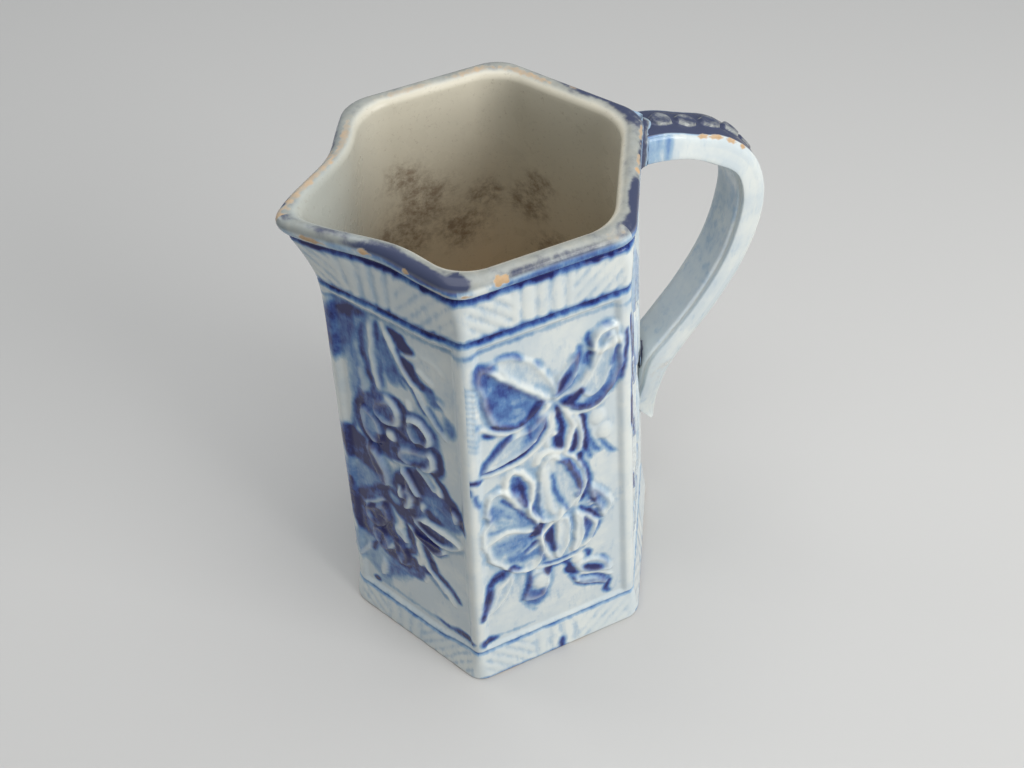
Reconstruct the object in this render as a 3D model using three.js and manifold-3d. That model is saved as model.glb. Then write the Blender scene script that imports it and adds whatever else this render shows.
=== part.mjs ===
// Press-moulded earthenware jug: a hexagonal body of six panelled walls on a base slab, with a
// spout drawn out of one corner and a strap handle luted to the opposite corner.
// Millimetres, +Z up, spout towards -X, handle towards +X. The origin is the middle of the underside.
import * as THREE from 'three';
import { mergeVertices } from 'three/addons/utils/BufferGeometryUtils.js';
import Module from 'manifold-3d';

const wasm = await Module();
wasm.setup();

// Heights of the body's lines
const HEIGHT = 170;
const FOOT_LINE = 14.3;
const PANEL_BOTTOM = 17;
const PANEL_TOP = 147.6;
const BAND_LINE = 151.5;
const RIM_LINE = 165;

// Plan of the hexagon at the foot line and at the band line. The mould is a little out of true,
// so the corners of the long sides are not at the same distance on both ends.
const FOOT_PLAN = { spout: -54.3, back: -29.3, front: 26.4, handle: 53.9, side: 45.3 };
const BAND_PLAN = { spout: -44.2, back: -21.6, front: 21.6, handle: 44.0, side: 37.7 };

// Wall and rim: the wall thickens from RIM_START to the rolled rim, whose skin stands RIM_ROLL proud
// of the wall and falls away by RIM_FALL at its top and by a share of that at its lower edge
const WALL = 4.2;
const RIM_START = 150;
const RIM_WALL = 4.9;
const RIM_ROLL = 0.4;
const RIM_FALL = 2.4;
const RIM_LOWER_SHARE = 0.17;
const LIP_EDGE = 2;

// Panels, grooves, edges and corners
const PANEL_SINK = 1.0;
const LINE_GROOVE = 0.5;
const GROOVE_HALF = 0.9;
const FOOT_FLARE = 1.8;
const FOOT_EDGE = 1.2;
const RIB_WIDTH = 2.2;
const RIB_FALL = 1.2;
const OUTER_CORNER = 2.6;
const SPOUT_OUTER_CORNER = 4.5;
const FOOT_CORNER = 7;
const INNER_CORNER = 13;
const SPOUT_INNER_CORNER = 6;
const JOINT_GAP = 0.3;

// Spout: how far it is drawn out and up at the lip, where that starts, how wide it runs, how
// sharply it turns out and up towards the lip, and how far the rim is pinched in on both sides of it
const SPOUT_REACH = 7.5;
const SPOUT_RISE = 1.8;
const SPOUT_START = 140;
const SPOUT_SPREAD = 16;
const SPOUT_OUT_CURVE = 2.1;
const SPOUT_UP_CURVE = 3;
const SPOUT_PINCH = 1.8;
const PINCH_PLACE = 21;
const PINCH_SPREAD = 9;

const BASE_THICKNESS = 6;

// Handle: its outer and inner outline in the XZ plane, from the rim down to the tail. The strap is
// HANDLE_WIDTH wide at its inner face and narrower by the share STRAP_NARROWING at its outer face.
const HANDLE_WIDTH = 15.3;
const STRAP_NARROWING = 0.2;
const TAIL_WIDTH = 5;
const HANDLE_OUTER = [
  [38, 166.9], [48.2, 165.6], [57.8, 161.9], [67, 158], [76.1, 149.5], [81.7, 137.7], [82.9, 124.3],
  [79.4, 108.3], [71.1, 91.6], [62.1, 78.4], [57.4, 69.3], [55.7, 58], [55.8, 48.5], [55.9, 41.5],
];
const HANDLE_INNER = [
  [38, 157], [47.1, 155.9], [54.5, 154], [61.9, 149.6], [69.2, 144], [72, 136.3], [71.9, 127.1],
  [69.1, 113.6], [61.8, 99], [54.2, 88.5], [48, 80], [47, 66], [47, 52], [54, 41.5],
];
const STRAP_HOLLOW = 0.9;
const TAIL_START = 0.74;
const STRAP_SQUARENESS = 0.42;
const STRAP_STEPS = 44;
const STRAP_SIDES = 20;

// Slip fillets where the handle is luted on: how far they spread over the strap and off the body,
// and the stretch of the strap that each goes round
const LUTING_SPREAD = 1.5;
const LUTING_REACH = 1.9;
const LUTING_UPPER = { from: 0.01, to: 0.12 };
const LUTING_LOWER = { from: 0.62, to: 0.93 };
const COLLAR_STEPS = 12;

// Relief: a petal is a low form over its outline, a stem a low roll along a line. Both are rooted a
// little under the panel, steep up to a shoulder and narrower at the crown.
const RELIEF_ROOT = 0.8;
const PETAL_SHOULDER = 0.5;
const PETAL_CROWN = 0.72;
const PETAL_DISH = 0.85;
const STEM_CROWN = 0.5;
const STEM_TIP = 0.5;

const GLAZE = { color: 0xb9c3d2, roughness: 0.16, metalness: 0 };
const COBALT_GLAZE = { color: 0x6f80a8, roughness: 0.16, metalness: 0 };
const UNDERSIDE = { color: 0xc9b79a, roughness: 0.6, metalness: 0 };

const mix = (a, b, t) => a + (b - a) * t;
const clamp = (t) => Math.min(1, Math.max(0, t));
const smooth = (t) => clamp(t) * clamp(t) * (3 - 2 * clamp(t));

// The six corners at height z, counter-clockwise from the spout
function cornersAt(z) {
  const t = Math.min(1, (z - FOOT_LINE) / (BAND_LINE - FOOT_LINE));
  const at = (key) => mix(FOOT_PLAN[key], BAND_PLAN[key], t);
  return [
    new THREE.Vector2(at('spout'), 0),
    new THREE.Vector2(at('back'), -at('side')),
    new THREE.Vector2(at('front'), -at('side')),
    new THREE.Vector2(at('handle'), 0),
    new THREE.Vector2(at('front'), at('side')),
    new THREE.Vector2(at('back'), at('side')),
  ];
}

// Edge from corner k to the next: start, direction, inward normal, length and the cotangents of
// half the angle at both ends, which give the mitre planes
function edgeAt(k, z) {
  const c = cornersAt(z);
  const pick = (i) => c[(i + 6) % 6];
  const direction = pick(k + 1).clone().sub(pick(k));
  const length = direction.length();
  direction.normalize();
  const halfCot = (i) => {
    const a = pick(i - 1).clone().sub(pick(i)).angle();
    const b = pick(i + 1).clone().sub(pick(i)).angle();
    return 1 / Math.tan(Math.abs(((a - b + 3 * Math.PI) % (2 * Math.PI)) - Math.PI) / 2);
  };
  return {
    start: pick(k),
    direction,
    inward: new THREE.Vector2(-direction.y, direction.x),
    length,
    cotStart: halfCot(k),
    cotEnd: halfCot(k + 1),
  };
}

// How far a corner of radius r lies inside the sharp one, at distance e from it along the side
const HALF_TURN = Math.PI / 6;
const cornerTangent = (r) => r * Math.tan(HALF_TURN);
function cornerFill(r, e) {
  const reach = cornerTangent(r) - e;
  return reach > 0 ? r - Math.sqrt(Math.max(0, r * r - reach * reach)) : 0;
}
const mitreFill = (r) => r * (1 - Math.cos(HALF_TURN));

// Depth of the outer face behind the body's plane at height z; negative stands proud of it
function outerProfile(z) {
  const flare = z < FOOT_LINE ? -FOOT_FLARE * (1 - z / FOOT_LINE) : 0;
  const edge = z < FOOT_EDGE ? FOOT_EDGE - Math.sqrt(FOOT_EDGE ** 2 - (FOOT_EDGE - z) ** 2) : 0;
  const groove = [FOOT_LINE, BAND_LINE, RIM_LINE]
    .map((line) => LINE_GROOVE * (1 - clamp(Math.abs(z - line) / GROOVE_HALF)))
    .reduce((a, b) => a + b);
  const rollHalf = (HEIGHT - RIM_LINE) / 2;
  const rollPlace = clamp((z - RIM_LINE) / rollHalf / 2) * 2 - 1;
  const rollFall = RIM_FALL * rollPlace ** 2 * (rollPlace > 0 ? rollPlace ** 2 : RIM_LOWER_SHARE);
  const roll = z > RIM_LINE ? rollFall - RIM_ROLL : 0;
  return flare + edge + groove + roll;
}

// The panel is sunk between the corner ribs, the foot line and the band moulding
function panelSink(z, e) {
  const across = smooth((e - RIB_WIDTH) / RIB_FALL);
  const up = smooth((z - PANEL_BOTTOM + RIB_FALL) / RIB_FALL) * smooth((PANEL_TOP + RIB_FALL - z) / RIB_FALL);
  return PANEL_SINK * across * up;
}

// Depth of the inner face: the plain wall, a thicker rim and its rounded inner edge
function innerProfile(z) {
  const thick = mix(WALL, RIM_WALL, smooth((z - RIM_START) / (RIM_LINE - RIM_START)));
  const edge = clamp((z - (HEIGHT - LIP_EDGE)) / LIP_EDGE);
  return thick - LIP_EDGE * (1 - Math.sqrt(1 - edge ** 2));
}

// The spout: the lip is drawn out towards -X and a little up around the spout corner
function drawSpout(point) {
  if (point.x > 0) return point;
  const along = Math.abs(point.y) / Math.cos(HALF_TURN);
  const spread = Math.exp(-((along / SPOUT_SPREAD) ** 2));
  const pinched = Math.exp(-(((along - PINCH_PLACE) / PINCH_SPREAD) ** 2));
  const climb = clamp((point.z - SPOUT_START) / (HEIGHT - SPOUT_START));
  point.x += (SPOUT_PINCH * pinched - SPOUT_REACH * spread) * climb ** SPOUT_OUT_CURVE;
  point.z += SPOUT_RISE * spread * climb ** SPOUT_UP_CURVE;
  return point;
}

// Radius of corner k on the outer or the inner face at height z; corner 0 is the spout's
function cornerRadius(k, outer, z) {
  const atSpout = k % 6 === 0;
  if (outer) return mix(atSpout ? SPOUT_OUTER_CORNER : OUTER_CORNER, FOOT_CORNER, smooth(1 - z / FOOT_LINE));
  return atSpout ? SPOUT_INNER_CORNER : INNER_CORNER;
}

// Point on wall k at height z: s is the distance along the wall from its nearer mitre joint, gap
// is the room left at that joint, and sink moves the face inwards
function wallPoint(k, z, fromStart, s, outer, gap = JOINT_GAP / 2, sink = 0) {
  const edge = edgeAt(k, z);
  const radius = cornerRadius(fromStart ? k : k + 1, outer, z);
  const base = (outer ? outerProfile(z) : innerProfile(z)) + sink;
  const cot = fromStart ? edge.cotStart : edge.cotEnd;
  const first = (base + mitreFill(radius)) * cot + gap / Math.cos(HALF_TURN);
  const e = first + s;
  const depth = base + cornerFill(radius, e - base * cot) + (outer ? panelSink(z, e) : 0);
  const along = fromStart ? e : edge.length - e;
  const p = edge.start.clone().addScaledVector(edge.direction, along).addScaledVector(edge.inward, depth);
  return drawSpout(new THREE.Vector3(p.x, p.y, z));
}

// Distance from a wall's first mitre joint to its middle at height z
function halfLength(k, z, outer) {
  const edge = edgeAt(k, z);
  const base = outer ? outerProfile(z) : innerProfile(z);
  const inset = (base + mitreFill(cornerRadius(k, outer, z))) * edge.cotStart;
  return edge.length / 2 - inset - JOINT_GAP / 2 / Math.cos(HALF_TURN);
}

// Stations across half a wall, from its joint to its middle, and up its height
const NEAR_STATIONS = [0, 0.7, 1.5, 2.3, 3.4, 5, 7.4, 11.2];
const HEIGHT_STATIONS = [
  0, 0.35, FOOT_EDGE, FOOT_LINE - GROOVE_HALF, FOOT_LINE, FOOT_LINE + GROOVE_HALF, PANEL_BOTTOM,
  56, 98, 132, 141, PANEL_TOP, PANEL_TOP + RIB_FALL,
  BAND_LINE - GROOVE_HALF, BAND_LINE, BAND_LINE + GROOVE_HALF, 158, RIM_LINE - GROOVE_HALF, RIM_LINE,
  166.2, 167.8, 169, 169.7, HEIGHT,
];

function finishMesh(name, geometry, finish) {
  const mesh = new THREE.Mesh(geometry, new THREE.MeshStandardMaterial(finish));
  mesh.name = name;
  return mesh;
}

// Moves every vertex of a geometry by a function and closes its shared vertices
function shaped(geometry, place) {
  const plain = geometry.clone();
  plain.deleteAttribute('normal');
  plain.deleteAttribute('uv');
  const merged = mergeVertices(plain, 1e-5);
  const position = merged.getAttribute('position');
  const v = new THREE.Vector3();
  for (let i = 0; i < position.count; i += 1) {
    v.fromBufferAttribute(position, i);
    const p = place(v);
    position.setXYZ(i, p.x, p.y, p.z);
  }
  merged.computeVertexNormals();
  return merged;
}

function wallGeometry(k) {
  const half = NEAR_STATIONS.length;
  const rows = HEIGHT_STATIONS.length - 1;
  return shaped(new THREE.BoxGeometry(2 * half, rows, 1, 2 * half, rows, 1), (v) => {
    const column = Math.round(v.x + half);
    const z = HEIGHT_STATIONS[Math.round(v.y + rows / 2)];
    const outer = v.z > 0;
    if (column === half) return wallPoint(k, z, true, halfLength(k, z, outer), outer);
    const fromStart = column < half;
    return wallPoint(k, z, fromStart, NEAR_STATIONS[fromStart ? column : 2 * half - column], outer);
  });
}

// Closed loft of rings of points, one ring to a level, with a middle point in the first and the last
function ringGeometry(levels, pointAt, count, middleAt = (level) => new THREE.Vector3(0, 0, level)) {
  return shaped(new THREE.CylinderGeometry(1, 1, levels.length - 1, count, levels.length - 1), (v) => {
    const level = levels[Math.round(v.y + (levels.length - 1) / 2)];
    if (Math.hypot(v.x, v.z) < 0.5) return middleAt(level);
    const turn = Math.atan2(v.x, v.z) / (2 * Math.PI);
    return pointAt(Math.round(((turn + 1) % 1) * count) % count, level);
  });
}

// Point over the sunk panel of wall k: u across from the wall's middle, z up and out from the panel.
// The walls on the +Y side repeat the others the other way round.
const isMirrored = (k) => k > 2;
function panelPoint(k, u, z, out) {
  const edge = edgeAt(k, z);
  const along = edge.length / 2 + (isMirrored(k) ? -u : u);
  const depth = outerProfile(z) + PANEL_SINK - out;
  const p = edge.start.clone().addScaledVector(edge.direction, along).addScaledVector(edge.inward, depth);
  return drawSpout(new THREE.Vector3(p.x, p.y, z));
}

function petalGeometry(k, outline, rise) {
  const points = outline.map(([u, z]) => new THREE.Vector2(u, z));
  if (THREE.ShapeUtils.isClockWise(points) !== isMirrored(k)) points.reverse();
  const middle = points.reduce((sum, p) => sum.add(p), new THREE.Vector2()).divideScalar(points.length);
  const levels = [-RELIEF_ROOT, rise * PETAL_SHOULDER, rise];
  return ringGeometry(levels, (index, level) => {
    const p = points[index].clone().lerp(middle, level === rise ? 1 - PETAL_CROWN : 0);
    return panelPoint(k, p.x, p.y, level);
  }, points.length, (level) => panelPoint(k, middle.x, middle.y, level === rise ? rise * PETAL_DISH : level));
}

function stemGeometry(k, line, width, rise) {
  const places = line.map(([u, z]) => new THREE.Vector3(u, z, 0));
  if (isMirrored(k)) places.reverse();
  const curve = new THREE.CatmullRomCurve3(places, false, 'centripetal');
  const steps = 2 * (line.length - 1);
  return shaped(new THREE.BoxGeometry(steps, 1, 1, steps, 1, 1), (v) => {
    const t = v.x / steps + 0.5;
    const p = curve.getPoint(t);
    const along = curve.getTangent(t);
    const isTip = Math.abs(v.x) === steps / 2;
    const share = (v.z > 0 ? STEM_CROWN : 1) * (isTip ? STEM_TIP : 1);
    const side = (isMirrored(k) ? -v.y : v.y) * width * share;
    const out = v.z > 0 ? rise * (isTip ? STEM_TIP : 1) : -RELIEF_ROOT;
    return panelPoint(k, p.x - along.y * side, p.y + along.x * side, out);
  });
}

const petal = (rise, ...outline) => ({ rise, outline });
const stem = (rise, width, ...line) => ({ rise, width, line });

// The spout walls: a flag iris on tall stems over slender leaves
const IRIS = [
  petal(0.8, [-18.6, 137], [-15, 138.6], [-12.6, 134], [-11.6, 119], [-14.6, 112], [-18.6, 119]),
  stem(1.5, 2.1, [-8.7, 142.4], [-9.1, 128], [-7.7, 116.8]),
  stem(1.5, 2.2, [-4, 142.2], [0.8, 132], [5.4, 125.6], [10, 118.6], [15.8, 111.8]),
  petal(1.0, [-17, 109.6], [-12.4, 107], [-8.8, 101.6], [-9.6, 92.4], [-13.6, 91.6], [-17, 97], [-18, 103.4]),
  petal(1.5, [-11, 109], [-8.6, 113.4], [-4.6, 115.4], [-1.8, 113.4], [-1.4, 109.6], [-3, 106],
    [-6.6, 104.2]),
  petal(1.5, [1.4, 112.6], [4.2, 114.8], [8, 113.8], [10, 110.4], [9.6, 106.4], [7, 104.8], [3.4, 104.8]),
  petal(1.5, [-2.4, 97.6], [2, 100.6], [8.6, 103.9], [10.5, 102], [10.4, 98], [8.5, 95.2], [-3.4, 93.4]),
  petal(1.6, [-7.1, 100.3], [-6.2, 102], [-4.2, 102], [-3.3, 100.3], [-4.2, 98.6], [-6.2, 98.6]),
  petal(1.6, [-15, 90.6], [-12.2, 91.4], [-9, 86.8], [-7, 81.6], [-7, 77.4], [-9, 74.8], [-11.6, 76.8]),
  stem(1.6, 1.9, [-2.2, 89], [2, 84], [4.1, 79.8]),
  stem(1.6, 1.8, [3, 93.2], [8, 89.8], [12, 87.2]),
  petal(1.3, [15.2, 84.2], [17.2, 84.6], [18.9, 81.6], [18.3, 79], [16.8, 77.8], [15.6, 81]),
  petal(1.4, [-1.2, 84], [0.6, 82.4], [2.2, 79], [1.6, 75.4], [-1.8, 70.6], [-4.6, 75], [-3, 79.4]),
  petal(1.1, [2.6, 69.8], [8, 71], [18.6, 69.8], [19.2, 67.6], [13.2, 62.3], [9, 61.8], [0.6, 66.2]),
  petal(1.0, [-1.6, 61.8], [3, 61], [12.8, 61.4], [12.4, 58.6], [9.4, 55.4], [7, 54.8], [3.6, 56.6]),
  petal(1.1, [-20.4, 56], [-16, 60], [-11.2, 64.6], [-9.4, 60], [-10.4, 54], [-14.6, 49], [-19, 50]),
  petal(1.0, [-18, 48], [-13.4, 48.6], [-10.8, 45], [-11, 40], [-14.6, 37.6], [-18, 41.6]),
  petal(1.0, [-8.8, 47.6], [-5.6, 48], [-3, 43.6], [-3.6, 38], [-7, 36.4], [-9, 41]),
  petal(1.3, [-7.4, 57.4], [-4.4, 56.4], [-2.2, 52.6], [-2.9, 50], [-6, 51.6]),
  stem(1.5, 2.6, [1.6, 56], [2.9, 49], [1.5, 43.2]),
  stem(1.4, 2.3, [3.4, 46.4], [8.5, 41], [12, 38.4], [15.8, 32.2]),
  petal(0.9, [-15.2, 32.2], [-12.9, 30], [-13.3, 26], [-16.6, 21.8], [-17.2, 25]),
];

// The long side walls: leaves and a bud over a full peony, with leaves below it
const PEONY = [
  petal(0.9, [-17, 141.8], [-10.5, 142.4], [-5, 139], [-0.4, 133], [2, 126], [-3.5, 125.5], [-13, 136]),
  petal(0.9, [-18, 141], [-11, 135.5], [-2.4, 125.4], [-2.2, 120.8], [-7, 116.6], [-13.2, 117.4], [-18, 126]),
  stem(1.5, 1.5, [-17, 142], [-10, 134.1], [-5, 128.5], [0.2, 122.6]),
  petal(1.1, [0.5, 122], [1.5, 127], [3.6, 131.5], [7.8, 136.6], [8.2, 131], [6.2, 126], [3, 122.5]),
  petal(1.0, [-20.7, 103.4], [-12.8, 112.8], [-5.4, 115], [-0.9, 118.2], [-1.8, 112], [-8.6, 105]),
  petal(1.4, [2.8, 119.4], [8, 114], [15.4, 115.2], [18.2, 118.6], [15.4, 124], [8.2, 125.5]),
  petal(1.4, [8.2, 125.5], [18.2, 118.6], [20, 124], [19.6, 137], [18, 141.6], [13.6, 141.4], [10.9, 137]),
  stem(1.4, 1.8, [3.2, 118.2], [6.6, 109.6], [4.2, 99.6]),
  stem(1.4, 1.5, [6.3, 113.6], [9.2, 104], [8.9, 98.2]),
  petal(1.0, [11.9, 108.6], [13.8, 111.2], [15.7, 108.6], [13.8, 106]),
  petal(1.0, [14.1, 102.6], [16, 105.2], [17.9, 102.6], [16, 100]),
  petal(1.3, [-15.1, 94], [-20.4, 90], [-20.2, 82.2], [-22, 78.6], [-20, 72.4], [-6, 71.4], [-7.6, 84]),
  petal(1.3, [-20, 72.4], [-21.8, 67], [-17.8, 57.6], [-11.6, 50.6], [-7.4, 49.8], [-3.4, 56], [-6, 71.4]),
  stem(2.0, 1.9, [-9.4, 81.2], [-13.4, 90.9], [-13, 97.2], [-11.2, 99], [-7.6, 95.2], [-5.9, 87.8],
    [-2, 70.6]),
  petal(1.3, [-4.4, 95], [-2.4, 99.6], [0.4, 101], [6.4, 93], [9.4, 83], [6, 73.4], [-2.6, 70.4], [-4.8, 84]),
  stem(1.8, 1.4, [-5, 97.6], [-1.4, 101.9], [3.4, 99.4], [9, 90], [10.6, 82.6], [6.8, 73.2]),
  petal(1.3, [0.6, 69.6], [3.2, 71.4], [5.6, 68.6], [6, 62], [3, 51], [0.2, 50.6], [-0.6, 56]),
  petal(1.3, [6.4, 70], [8.8, 69.6], [10.2, 64], [10.2, 57], [8.4, 51.6], [5.4, 50.8]),
  stem(1.9, 1.6, [2.6, 74.4], [-0.2, 69.4], [-3.8, 65], [-3.1, 58], [-0.6, 51.6]),
  stem(1.7, 1.7, [8.4, 71], [13, 65], [13.9, 58.6], [8.8, 50.3]),
  petal(1.3, [11.8, 81.2], [17.2, 74], [19.4, 67.6], [16, 61.6], [12.4, 72]),
  stem(0.8, 1.3, [-6, 48.6], [0.6, 46.7], [9.6, 49.8]),
  petal(0.9, [-14, 53], [-20.8, 45.4], [-23.6, 34], [-17, 38.6], [-13.2, 48]),
  petal(1.1, [-8.2, 48.6], [-10, 39.6], [-11.6, 35], [-8.6, 32.8], [-4, 32.4], [-2.2, 36.6], [-1.4, 42]),
  petal(1.0, [6.6, 42], [14.4, 42.6], [19.2, 36], [20, 31.6], [12, 35.2], [8.6, 37.4]),
  petal(0.9, [5.2, 37.6], [8.6, 30.4], [18, 24], [17.6, 27.8], [9.4, 33.6]),
];

// The walls beside the handle: tall rushes with their heads, leaves along them and at their foot
const RUSH_STEMS = [[-13, 132, 44], [-4, 140, 30], [6, 136, 38], [14, 126, 52]];
const RUSH_LEAVES = [
  [-9, 112, -1], [-2, 104, 1], [9, 98, 1], [-6, 84, -1], [4, 72, 1], [-10, 62, -1], [10, 58, 1],
];
const FOOT_LEAVES = [[-12, 34], [-5, 27], [4, 29], [12, 36]];
const RUSHES = [
  ...RUSH_STEMS.flatMap(([u, top, low]) => [
    stem(1.3, 1.8, [u, top], [u + 1.2, (top + low) / 2 + 12], [u - 0.8, (top + low) / 2 - 8], [u * 0.6, low]),
    petal(1.6, [u - 1.6, top - 6], [u, top + 6], [u + 1.8, top - 6], [u + 1.4, top - 15],
      [u - 1.2, top - 15]),
  ]),
  ...RUSH_LEAVES.map(([u, z, side]) => petal(
    1.2, [u, z - 12], [u + 4.5 * side, z - 5], [u + 8.5 * side, z + 9], [u + 4 * side, z + 4],
    [u + 0.6 * side, z - 4],
  )),
  ...FOOT_LEAVES.map(([u, z]) => petal(
    1.1, [u, z + 9], [u + 2.6, z + 2], [u + 1, z - 6], [u - 1.4, z - 5], [u - 2.4, z + 2],
  )),
];
const PANEL_RELIEF = [IRIS, PEONY, RUSHES, RUSHES, PEONY, IRIS];

const BASE_STATIONS = [0, 1.6, 3.4, 5.4, 7.6];

function baseGeometry() {
  const perWall = 2 * BASE_STATIONS.length - 1;
  return ringGeometry([0, BASE_THICKNESS], (index, z) => {
    const k = Math.floor(index / perWall) % 6;
    const i = index % perWall;
    const fromStart = i < BASE_STATIONS.length;
    const station = BASE_STATIONS[fromStart ? i : perWall - i];
    return wallPoint(k, z, fromStart, station, false, 0, JOINT_GAP);
  }, 6 * perWall);
}

// The body's outer form as one solid, larger by a margin, which trims the handle and its luting
function bodyFormGeometry(margin) {
  const perWall = 2 * NEAR_STATIONS.length - 1;
  return ringGeometry(HEIGHT_STATIONS.slice(1), (index, z) => {
    const k = Math.floor(index / perWall) % 6;
    const i = index % perWall;
    const fromStart = i < NEAR_STATIONS.length;
    return wallPoint(k, z, fromStart, NEAR_STATIONS[fromStart ? i : perWall - i], true, 0, -margin);
  }, 6 * perWall);
}

function outlineCurve(points) {
  const places = points.map(([x, z]) => new THREE.Vector3(x, 0, z));
  return new THREE.CatmullRomCurve3(places, false, 'centripetal');
}
const outerCurve = outlineCurve(HANDLE_OUTER);
const innerCurve = outlineCurve(HANDLE_INNER);

// Half the width of the handle's inner face at t from the rim to the tail
function handleHalfWidth(t) {
  return mix(HANDLE_WIDTH, TAIL_WIDTH, smooth((t - TAIL_START) / (1 - TAIL_START))) / 2;
}

// Point on the strap's skin, grown by a margin: t along it, angle round its section
function strapPoint(t, angle, grow = 0) {
  const out = outerCurve.getPoint(t);
  const inn = innerCurve.getPoint(t);
  const middle = out.clone().add(inn).multiplyScalar(0.5);
  const across = out.clone().sub(inn);
  const halfThick = across.length() / 2 + grow;
  across.normalize();
  const square = (value) => Math.sign(value) * Math.abs(value) ** STRAP_SQUARENESS;
  const sideways = square(Math.sin(angle));
  const outwards = square(Math.cos(angle));
  const y = sideways * (handleHalfWidth(t) * (1 - STRAP_NARROWING * (1 + outwards) / 2) + grow);
  const hollow = outwards < 0 ? STRAP_HOLLOW * (1 - sideways ** 2) : 0;
  return middle.addScaledVector(across, outwards * halfThick + hollow).add(new THREE.Vector3(0, y, 0));
}

function strapGeometry(from, to, steps, grow) {
  return shaped(new THREE.CylinderGeometry(1, 1, steps, STRAP_SIDES, steps), (v) => {
    const t = mix(to, from, v.y / steps + 0.5);
    const radius = Math.hypot(v.x, v.z);
    if (radius < 0.5) return outerCurve.getPoint(t).add(innerCurve.getPoint(t)).multiplyScalar(0.5);
    return strapPoint(t, Math.atan2(v.x, v.z), grow);
  });
}

function toSolid(geometry) {
  const mesh = new wasm.Mesh({
    numProp: 3,
    vertProperties: new Float32Array(geometry.getAttribute('position').array),
    triVerts: new Uint32Array(geometry.getIndex().array),
  });
  return new wasm.Manifold(mesh);
}

function toGeometry(solid) {
  const mesh = solid.getMesh();
  const geometry = new THREE.BufferGeometry();
  geometry.setAttribute('position', new THREE.BufferAttribute(new Float32Array(mesh.vertProperties), 3));
  geometry.setIndex(new THREE.BufferAttribute(new Uint32Array(mesh.triVerts), 1));
  geometry.computeVertexNormals();
  return geometry;
}

const WALL_NAMES = [
  'spout_wall_left', 'side_wall_left', 'handle_wall_left',
  'handle_wall_right', 'side_wall_right', 'spout_wall_right',
];

const jug = new THREE.Group();
jug.name = 'earthenware_jug';

// A wall with the relief of its panel, pressed in the same mould and so of one piece with it
function pressedWall(k) {
  const forms = PANEL_RELIEF[k].map(({ outline, line, width, rise }) => toSolid(
    outline ? petalGeometry(k, outline, rise) : stemGeometry(k, line, width, rise),
  ));
  return toGeometry(forms.reduce((wall, form) => wall.add(form), toSolid(wallGeometry(k))));
}

WALL_NAMES.forEach((name, k) => jug.add(finishMesh(name, pressedWall(k), GLAZE)));
jug.add(finishMesh('base_slab', baseGeometry(), UNDERSIDE));

const bodyForm = toSolid(bodyFormGeometry(JOINT_GAP));
const lutingZone = toSolid(bodyFormGeometry(JOINT_GAP + LUTING_REACH));
const handle = toSolid(strapGeometry(0, 1, STRAP_STEPS, 0)).subtract(bodyForm);
jug.add(finishMesh('handle', toGeometry(handle), GLAZE));

// A fillet of slip round the strap, as far as the body's wall is near
function lutingGeometry({ from, to }) {
  const collar = toSolid(strapGeometry(from, to, COLLAR_STEPS, LUTING_SPREAD));
  const strap = toSolid(strapGeometry(0, 1, STRAP_STEPS, JOINT_GAP));
  return toGeometry(collar.intersect(lutingZone).subtract(strap).subtract(bodyForm));
}

jug.add(finishMesh('handle_luting_upper', lutingGeometry(LUTING_UPPER), COBALT_GLAZE));
jug.add(finishMesh('handle_luting_lower', lutingGeometry(LUTING_LOWER), COBALT_GLAZE));

export default jug;
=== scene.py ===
"""Earthenware jug: the looks of a hexagonal press-moulded jug in blue and white glaze.

The body's six walls, the base slab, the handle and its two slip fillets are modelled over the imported
frame, in its own place. The modelling works in millimetres, and a finished mesh, the settings, the
materials and the stage are in metres. A wall's face is measured as u, across from its middle towards
the next corner, and z, up.
"""
import math

import bmesh
import bpy
import numpy as np
from mathutils import Matrix, Vector


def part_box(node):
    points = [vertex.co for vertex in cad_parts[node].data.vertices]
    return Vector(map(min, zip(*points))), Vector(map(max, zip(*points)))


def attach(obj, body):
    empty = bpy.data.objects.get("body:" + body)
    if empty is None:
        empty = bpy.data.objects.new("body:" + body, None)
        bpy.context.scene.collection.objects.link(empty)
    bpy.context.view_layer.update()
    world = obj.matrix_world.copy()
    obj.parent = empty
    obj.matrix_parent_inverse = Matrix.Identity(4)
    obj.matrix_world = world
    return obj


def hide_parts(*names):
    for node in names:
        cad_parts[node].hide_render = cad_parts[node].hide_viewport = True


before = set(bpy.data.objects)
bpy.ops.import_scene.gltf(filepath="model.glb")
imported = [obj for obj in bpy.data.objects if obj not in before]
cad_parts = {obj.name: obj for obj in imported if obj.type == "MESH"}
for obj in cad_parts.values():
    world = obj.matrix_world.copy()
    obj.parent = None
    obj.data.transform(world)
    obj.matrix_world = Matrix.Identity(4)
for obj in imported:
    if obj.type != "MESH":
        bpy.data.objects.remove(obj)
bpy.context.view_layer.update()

bl_info = {
    "name": "Earthenware Jug",
    "version": (1, 0, 0),
    "blender": (4, 5, 0),
    "location": "View3D > Sidebar > Jug",
    "description": "Models and glazes a press-moulded hexagonal jug",
    "category": "Add Mesh",
}

MM = 0.001
HEIGHT = round(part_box("side_wall_left")[1][2] / MM, 1)
WALLS = (
    "spout_wall_left", "side_wall_left", "handle_wall_left",
    "handle_wall_right", "side_wall_right", "spout_wall_right",
)
SPOUT_WALLS = (0, 5)
HANDLE_WALLS = (2, 3)

# Heights of the mould's lines, and how much lower the outer ones run towards the spout
FOOT_LINE = 14.3
PANEL_BOTTOM = 17
PANEL_TOP = 147.6
BAND_LINE = 151.5
RIM_LINE = 165
BAND_SAG = 1.6
FOOT_SAG = 2.6

# Plan of the body at the foot line and at the band line
FOOT_PLAN = {"spout": -54.3, "back": -29.3, "front": 26.4, "handle": 53.9, "side": 45.3}
BAND_PLAN = {"spout": -44.2, "back": -21.6, "front": 21.6, "handle": 44.0, "side": 37.7}

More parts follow.
